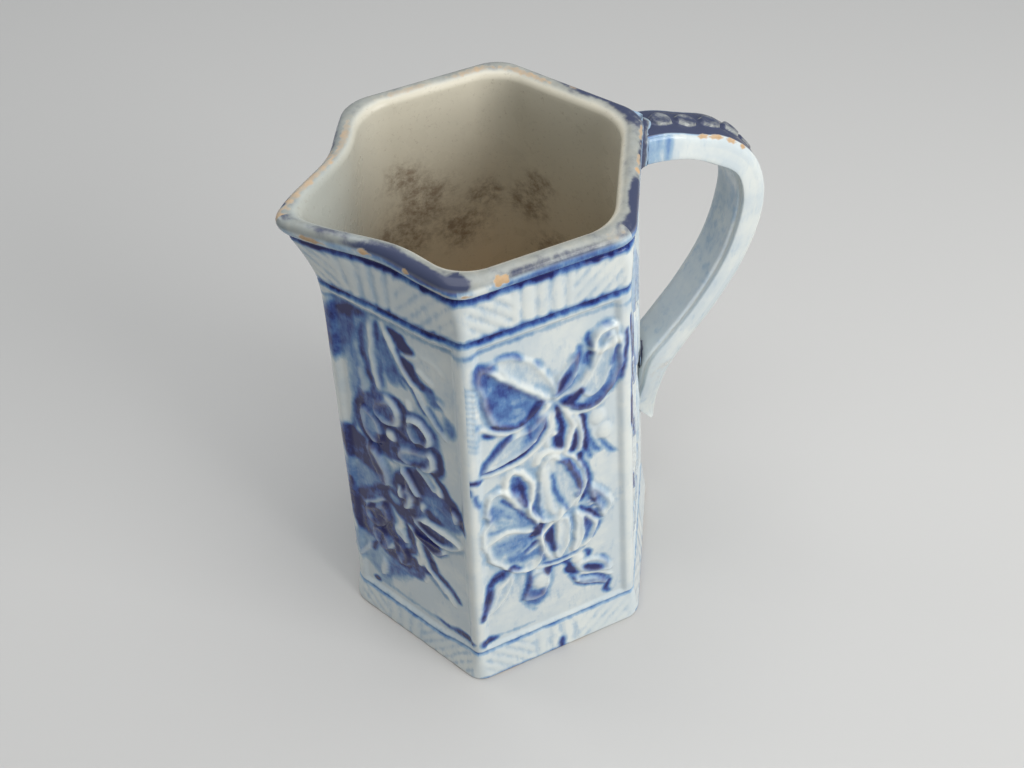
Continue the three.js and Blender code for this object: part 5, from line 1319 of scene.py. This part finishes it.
class Nodes:
    """Short hand for building one material's node tree"""

    def __init__(self, name):
        self.material = bpy.data.materials.new(name)
        self.material.use_nodes = True
        self.tree = self.material.node_tree
        self.shader = self.tree.nodes["Principled BSDF"]
        self.place = self.new("ShaderNodeTexCoord").outputs["Object"]

    def new(self, kind, inputs=None, **settings):
        node = self.tree.nodes.new(kind)
        for key, value in settings.items():
            setattr(node, key, value)
        for key, value in (inputs or {}).items():
            self.give(node.inputs[key], value)
        return node

    def give(self, socket, value):
        """Link a socket into this one, or set this one to a constant"""
        if isinstance(value, bpy.types.NodeSocket):
            self.tree.links.new(value, socket)
        else:
            socket.default_value = (*value, 1.0) if socket.type == "RGBA" else value

    def attribute(self, key):
        return self.new("ShaderNodeAttribute", attribute_name=key).outputs["Fac"]

    def noise(self, scale, detail=3.0, roughness=0.5, place=None):
        inputs = {"Vector": place or self.place, "Scale": scale, "Detail": detail, "Roughness": roughness}
        return self.new("ShaderNodeTexNoise", inputs).outputs["Fac"]

    def grain(self, *noise):
        """A noise centred on 0"""
        return self.math("SUBTRACT", self.noise(*noise), 0.5)

    def math(self, operation, a, b=0.0, clamp=False):
        node = self.new("ShaderNodeMath", {0: a, 1: b}, operation=operation, use_clamp=clamp)
        return node.outputs[0]

    def plus(self, a, b, clamp=False):
        return self.math("ADD", a, b, clamp)

    def times(self, a, b):
        return self.math("MULTIPLY", a, b)

    def remap(self, value, low, high, to_low=0.0, to_high=1.0):
        """A soft step between two values, which turn into to_low and to_high"""
        inputs = {"Value": value, "From Min": low, "From Max": high, "To Min": to_low, "To Max": to_high}
        return self.new("ShaderNodeMapRange", inputs, interpolation_type="SMOOTHSTEP").outputs["Result"]

    def blend(self, factor, a, b):
        node = self.new("ShaderNodeMix", data_type="RGBA")
        self.give(node.inputs["Factor"], factor)
        self.give(node.inputs[6], a)
        self.give(node.inputs[7], b)
        return node.outputs[2]

    def ramp(self, value, stops):
        """A ramp of colours, whose two ends come first"""
        node = self.new("ShaderNodeValToRGB", {"Fac": value})
        ramp = node.color_ramp
        ramp.interpolation = "LINEAR"
        for i, (place, colour) in enumerate(stops):
            stop = ramp.elements[i] if i < 2 else ramp.elements.new(place)
            stop.position = place
            stop.color = (*colour, 1.0)
        return node.outputs["Color"]


def glaze_material(name, colours, foot_wear=False):
    """Tin-white glaze over pale clay, with cobalt that has run into the hollows"""
    n = Nodes(name)
    broken = n.grain(420, 4, 0.62)
    cloudy = n.grain(150, 3, 0.6)
    drawn = n.new("ShaderNodeMapping", {"Vector": n.place, "Scale": (1, 1, 0.3), "Rotation": (0.25, 0.2, 0)})
    streaks = n.grain(520, 4, 0.65, drawn.outputs["Vector"])
    # Brushed cobalt is cloudy and streaked, breaks up along its edges and runs thinly over the ground
    cobalt = n.times(n.attribute("cobalt"), n.plus(1.12, n.plus(cloudy, n.times(streaks, 0.7))))
    cobalt = n.plus(cobalt, n.times(n.times(broken, 0.3), n.remap(cobalt, 0.02, 0.3, 0.2, 1.0)))
    thin = n.plus(n.times(cloudy, 0.26), n.times(streaks, 0.3))
    cobalt = n.plus(cobalt, n.plus(thin, 0.03), clamp=True)
    ground = n.blend(n.remap(n.noise(70, 4, 0.6), 0.4, 0.66, 0.0, 0.6), colours.pale, colours.cream)
    blue = n.ramp(cobalt, (
        (0.0, colours.pale), (1.0, colours.navy),
        (0.24, colours.wash), (0.54, colours.cobalt), (0.8, colours.deep),
    ))
    blue = n.blend(n.remap(cobalt, 0.02, 0.16), ground, blue)
    cream = n.times(n.attribute("cream"), n.remap(broken, -0.35, 0.1, 0.45, 1.0))
    glazed = n.blend(cream, blue, colours.cream)
    # The lining turns warmer towards the floor and greyer behind the spout, with specks and stains
    x, _, height = n.new("ShaderNodeSeparateXYZ", {"Vector": n.place}).outputs
    lining = n.blend(n.remap(height, 0.165, 0.05), colours.lining, colours.lining_deep)
    lining = n.blend(n.remap(x, -0.008, -0.04), lining, colours.lining_spout)
    specks = n.remap(n.noise(800, 5, 0.8), 0.56, 0.7)
    lining = n.blend(n.times(specks, 0.3), lining, colours.stain)
    stained = 0.0
    for at, reach in stain_places():
        near = n.new("ShaderNodeVectorMath", {0: n.place, 1: at}, operation="DISTANCE").outputs["Value"]
        stained = n.math("MAXIMUM", stained, n.remap(near, reach, reach * 0.25))
    blots = n.remap(n.plus(n.noise(300, 6, 0.76), n.times(stained, 0.16)), 0.48, 0.84)
    lining = n.blend(n.times(n.times(blots, stained), 0.7), lining, colours.stain)
    inside = n.attribute("inside")
    body = n.blend(inside, glazed, lining)
    # The glaze is thin and grey over the top of the roll, which has half of the lining's share
    over_roll = n.remap(n.math("ABSOLUTE", n.math("SUBTRACT", inside, 0.5)), 0.45, 0.1)
    thinned = n.times(over_roll, n.remap(cloudy, -0.25, 0.25, 0.6, 0.85))
    body = n.blend(thinned, body, colours.roll)
    pooled = n.times(over_roll, n.remap(cobalt, 0.2, 0.62, 0.0, 0.9))
    body = n.blend(pooled, body, colours.rim_pool)
    # Bare clay shows in the chips, and where the foot has worn
    chip = n.remap(n.plus(n.attribute("chip"), n.times(broken, 0.8)), 0.15, 0.85)
    clay = n.blend(n.noise(900, 3), colours.clay, colours.clay_dark)
    surface = n.blend(chip, body, clay)
    if foot_wear:
        worn = n.times(n.remap(height, 0.0011, 0.0003), n.remap(n.noise(160, 4), 0.4, 0.6))
        surface = n.blend(worn, surface, clay)
    rough = n.plus(n.remap(n.noise(130, 3), 0.3, 0.7, 0.1, 0.17), n.times(inside, 0.16))
    peel = n.plus(n.times(n.noise(380, 2), 0.6), n.times(chip, -1.2))
    bumped = n.new("ShaderNodeBump", {"Height": peel, "Strength": 0.25, "Distance": 0.0002})
    for key, value in (
        ("Base Color", surface),
        ("Roughness", n.plus(rough, n.times(chip, 0.6), clamp=True)),
        ("IOR", GLAZE_IOR),
        ("Specular IOR Level", GLAZE_SPECULAR),
        ("Normal", bumped.outputs["Normal"]),
    ):
        n.give(n.shader.inputs[key], value)
    return n.material


def stain_places():
    """Middles and reaches of the stains, in metres"""
    places = []
    for k, u, z, reach in STAINS:
        corners = corners_at(np.array([z], float))
        _, direction, inward, _ = side_at(corners, k)
        spot = ((corners[k] + corners[(k + 1) % 6]) / 2 + direction * u + inward * WALL)[0]
        places.append(((spot[0] * MM, spot[1] * MM, z * MM), reach * MM))
    return places


# Settings, operators and the panel

def colour_setting(name, description, default):
    """A colour that the user can change"""
    return bpy.props.FloatVectorProperty(
        name=name, description=description, subtype="COLOR", size=3, min=0, max=1, default=default)


class JugGlazeSettings(bpy.types.PropertyGroup):
    pale: colour_setting("Pale glaze", "The ground of the faces", (0.55, 0.605, 0.615))
    wash: colour_setting("Light wash", "Thin cobalt", (0.30, 0.42, 0.53))
    cobalt: colour_setting("Cobalt", "Cobalt of middling strength", (0.09, 0.195, 0.41))
    deep: colour_setting("Deep cobalt", "Cobalt where it is thick", (0.032, 0.066, 0.25))
    navy: colour_setting("Pooled cobalt", "Cobalt where it has pooled", (0.012, 0.014, 0.1))
    cream: colour_setting("Cream", "The crests of the relief, where the glaze is thin", (0.72, 0.73, 0.67))
    lining: colour_setting("Lining", "The inside under the rim", (0.63, 0.585, 0.47))
    lining_deep: colour_setting("Deep lining", "The inside towards the floor", (0.76, 0.58, 0.365))
    lining_spout: colour_setting("Spout lining", "The inside behind the spout", (0.38, 0.39, 0.35))
    roll: colour_setting("Thin glaze", "The top of the rim's roll", (0.23, 0.23, 0.2))
    rim_pool: colour_setting("Rim pools", "Cobalt that has pooled on the roll", (0.028, 0.038, 0.09))
    stain: colour_setting("Stain", "Old brown stains inside", (0.15, 0.085, 0.045))
    clay: colour_setting("Clay", "The fired clay in a chip", (0.58, 0.40, 0.24))
    clay_dark: colour_setting("Dark clay", "Darker grains of the clay", (0.42, 0.27, 0.14))


class JugShapeSettings(bpy.types.PropertyGroup):
    spacing: bpy.props.FloatProperty(
        name="Mesh spacing", description="Distance between the vertices of a wall's face",
        default=0.00042, min=0.0003, max=0.002, unit="LENGTH")
    relief: bpy.props.FloatProperty(
        name="Relief", description="Height of the moulded relief as a share of the mould's",
        default=0.8, min=0, max=1.2, subtype="FACTOR")
    slip_width: bpy.props.FloatProperty(
        name="Slip fillet", description="Width of the slip where the handle is luted on",
        default=0.0022, min=0.0005, max=0.004, unit="LENGTH")
    scale_length: bpy.props.FloatProperty(
        name="Scale length", description="Length of a scale on the handle",
        default=0.0068, min=0.004, max=0.0078, unit="LENGTH")


class JugStageSettings(bpy.types.PropertyGroup):
    floor: colour_setting("Floor", "The pale floor", (0.52, 0.51, 0.49))
    sky: bpy.props.FloatProperty(
        name="Sky", description="Strength of the even light from all round",
        default=0.24, min=0, max=2)
    key: bpy.props.FloatProperty(
        name="Lamps", description="Power of the lamp overhead; the others go with it",
        default=9.6, min=0, max=50)
    camera_turn: bpy.props.FloatProperty(
        name="Camera azimuth", description="Turn of the camera round the jug",
        default=math.radians(-21.57), subtype="ANGLE")
    camera_rise: bpy.props.FloatProperty(
        name="Camera elevation", description="Height of the camera as an angle",
        default=math.radians(50.53), subtype="ANGLE")
    camera_roll: bpy.props.FloatProperty(
        name="Camera roll", description="Turn of the camera about its own axis",
        default=math.radians(-3.11), subtype="ANGLE")
    camera_distance: bpy.props.FloatProperty(
        name="Camera distance", description="From the camera to the point it looks at",
        default=0.3211, min=0.1, unit="LENGTH")
    camera_target: bpy.props.FloatVectorProperty(
        name="Camera target", description="The point that the camera looks at",
        default=(0.00514, 0.00022, 0.08307), subtype="TRANSLATION", unit="LENGTH")
    camera_lens: bpy.props.FloatProperty(
        name="Lens", description="Focal length on a sensor 36 mm wide",
        default=37.29, min=10, unit="CAMERA")


class JUG_OT_walls(bpy.types.Operator):
    """Make the six walls with their relief, rim and lining"""
    bl_idname = "jug.walls"
    bl_label = "Walls"

    def execute(self, context):
        glaze = glaze_material("relief_glaze_look", context.scene.jug_glaze, foot_wear=True)
        for k in range(6):
            make_wall(k, context.scene.jug_shape).data.materials.append(glaze)
        return {"FINISHED"}


class JUG_OT_base(bpy.types.Operator):
    """Make the slab that closes the bottom"""
    bl_idname = "jug.base"
    bl_label = "Base"

    def execute(self, context):
        glaze = glaze_material("base_glaze_look", context.scene.jug_glaze, foot_wear=True)
        make_base().data.materials.append(glaze)
        return {"FINISHED"}


class JUG_OT_handle(bpy.types.Operator):
    """Make the strap handle and the slip that holds its two ends"""
    bl_idname = "jug.handle"
    bl_label = "Handle"

    def execute(self, context):
        settings = context.scene.jug_shape
        glaze = glaze_material("handle_glaze_look", context.scene.jug_glaze)
        width = settings.slip_width / MM
        pieces = [
            make_handle(settings),
            make_luting("handle_luting_upper_slip", "handle_luting_upper", upper_spokes(), width),
            make_luting("handle_luting_lower_slip", "handle_luting_lower", lower_spokes(), width),
        ]
        for piece in pieces:
            piece.data.materials.append(glaze)
        return {"FINISHED"}


# The lamps: place in metres, size, and power as a share of the setting
LAMP_AIM = (0, 0, 0.09)
LAMPS = {
    "window_lamp": ((0.46, -0.69, 0.48), 0.5, 0.63),
    "back_lamp": ((-0.5, 0.55, 0.65), 0.35, 0.12),
    "top_lamp": ((0.08, -0.06, 1.1), 1.0, 1.0),
}


def area_lamp(name, place, size, power):
    """A square lamp that shines at the jug"""
    light = bpy.data.lights.new(name, "AREA")
    light.energy = power
    light.size = size
    lamp = bpy.data.objects.new(name, light)
    bpy.context.scene.collection.objects.link(lamp)
    toward = Vector(LAMP_AIM) - Vector(place)
    turned = toward.to_track_quat("-Z", "Y").to_matrix().to_4x4()
    lamp.matrix_world = Matrix.Translation(place) @ turned


class JUG_OT_stage(bpy.types.Operator):
    """Make the floor, the light and the camera"""
    bl_idname = "jug.stage"
    bl_label = "Stage"

    def execute(self, context):
        settings = context.scene.jug_stage
        bm = bmesh.new()
        bmesh.ops.create_grid(bm, x_segments=1, y_segments=1, size=1.6)
        mesh = bpy.data.meshes.new("floor")
        bm.to_mesh(mesh)
        bm.free()
        floor = bpy.data.objects.new("floor", mesh)
        context.scene.collection.objects.link(floor)
        n = Nodes("floor_look")
        n.give(n.shader.inputs["Base Color"], settings.floor)
        n.give(n.shader.inputs["Roughness"], 0.7)
        mesh.materials.append(n.material)
        world = bpy.data.worlds.new("studio")
        world.use_nodes = True
        background = world.node_tree.nodes["Background"]
        background.inputs["Color"].default_value = (0.78, 0.88, 1, 1)
        background.inputs["Strength"].default_value = settings.sky
        context.scene.world = world
        for name, (place, size, share) in LAMPS.items():
            area_lamp(name, place, size, settings.key * share)
        camera = bpy.data.cameras.new("camera")
        camera.lens = settings.camera_lens
        camera.sensor_width = 36
        camera.clip_start = 0.01
        viewer = bpy.data.objects.new("camera", camera)
        context.scene.collection.objects.link(viewer)
        turn, rise = settings.camera_turn, settings.camera_rise
        back = Vector((math.sin(turn) * math.cos(rise), -math.cos(turn) * math.cos(rise), math.sin(rise)))
        place = Vector(settings.camera_target) + back * settings.camera_distance
        level = back.to_track_quat("Z", "Y").to_matrix().to_4x4()
        rolled = level @ Matrix.Rotation(settings.camera_roll, 4, "Z")
        viewer.matrix_world = Matrix.Translation(place) @ rolled
        context.scene.camera = viewer
        context.scene.view_settings.view_transform = "Standard"
        return {"FINISHED"}


class JUG_PT_panel(bpy.types.Panel):
    """Lists the jug's operators and settings"""
    bl_label = "Jug"
    bl_idname = "JUG_PT_panel"
    bl_space_type = "VIEW_3D"
    bl_region_type = "UI"
    bl_category = "Jug"

    def draw(self, context):
        for operator in OPERATORS:
            self.layout.operator(operator.bl_idname)
        for key in SETTINGS:
            settings = getattr(context.scene, key)
            for name in settings.bl_rna.properties.keys():
                if name not in ("rna_type", "name"):
                    self.layout.prop(settings, name)


OPERATORS = (JUG_OT_stage, JUG_OT_walls, JUG_OT_base, JUG_OT_handle)
SETTINGS = {"jug_glaze": JugGlazeSettings, "jug_shape": JugShapeSettings, "jug_stage": JugStageSettings}


def register():
    for item in (*SETTINGS.values(), *OPERATORS, JUG_PT_panel):
        bpy.utils.register_class(item)
    for key, group in SETTINGS.items():
        setattr(bpy.types.Scene, key, bpy.props.PointerProperty(type=group))


def unregister():
    for key in SETTINGS:
        delattr(bpy.types.Scene, key)
    for item in reversed((*SETTINGS.values(), *OPERATORS, JUG_PT_panel)):
        bpy.utils.unregister_class(item)


def main():
    """Make the stage and the jug"""
    register()
    bpy.ops.jug.stage()
    bpy.ops.jug.walls()
    bpy.ops.jug.base()
    bpy.ops.jug.handle()


if __name__ == "__main__":
    main()
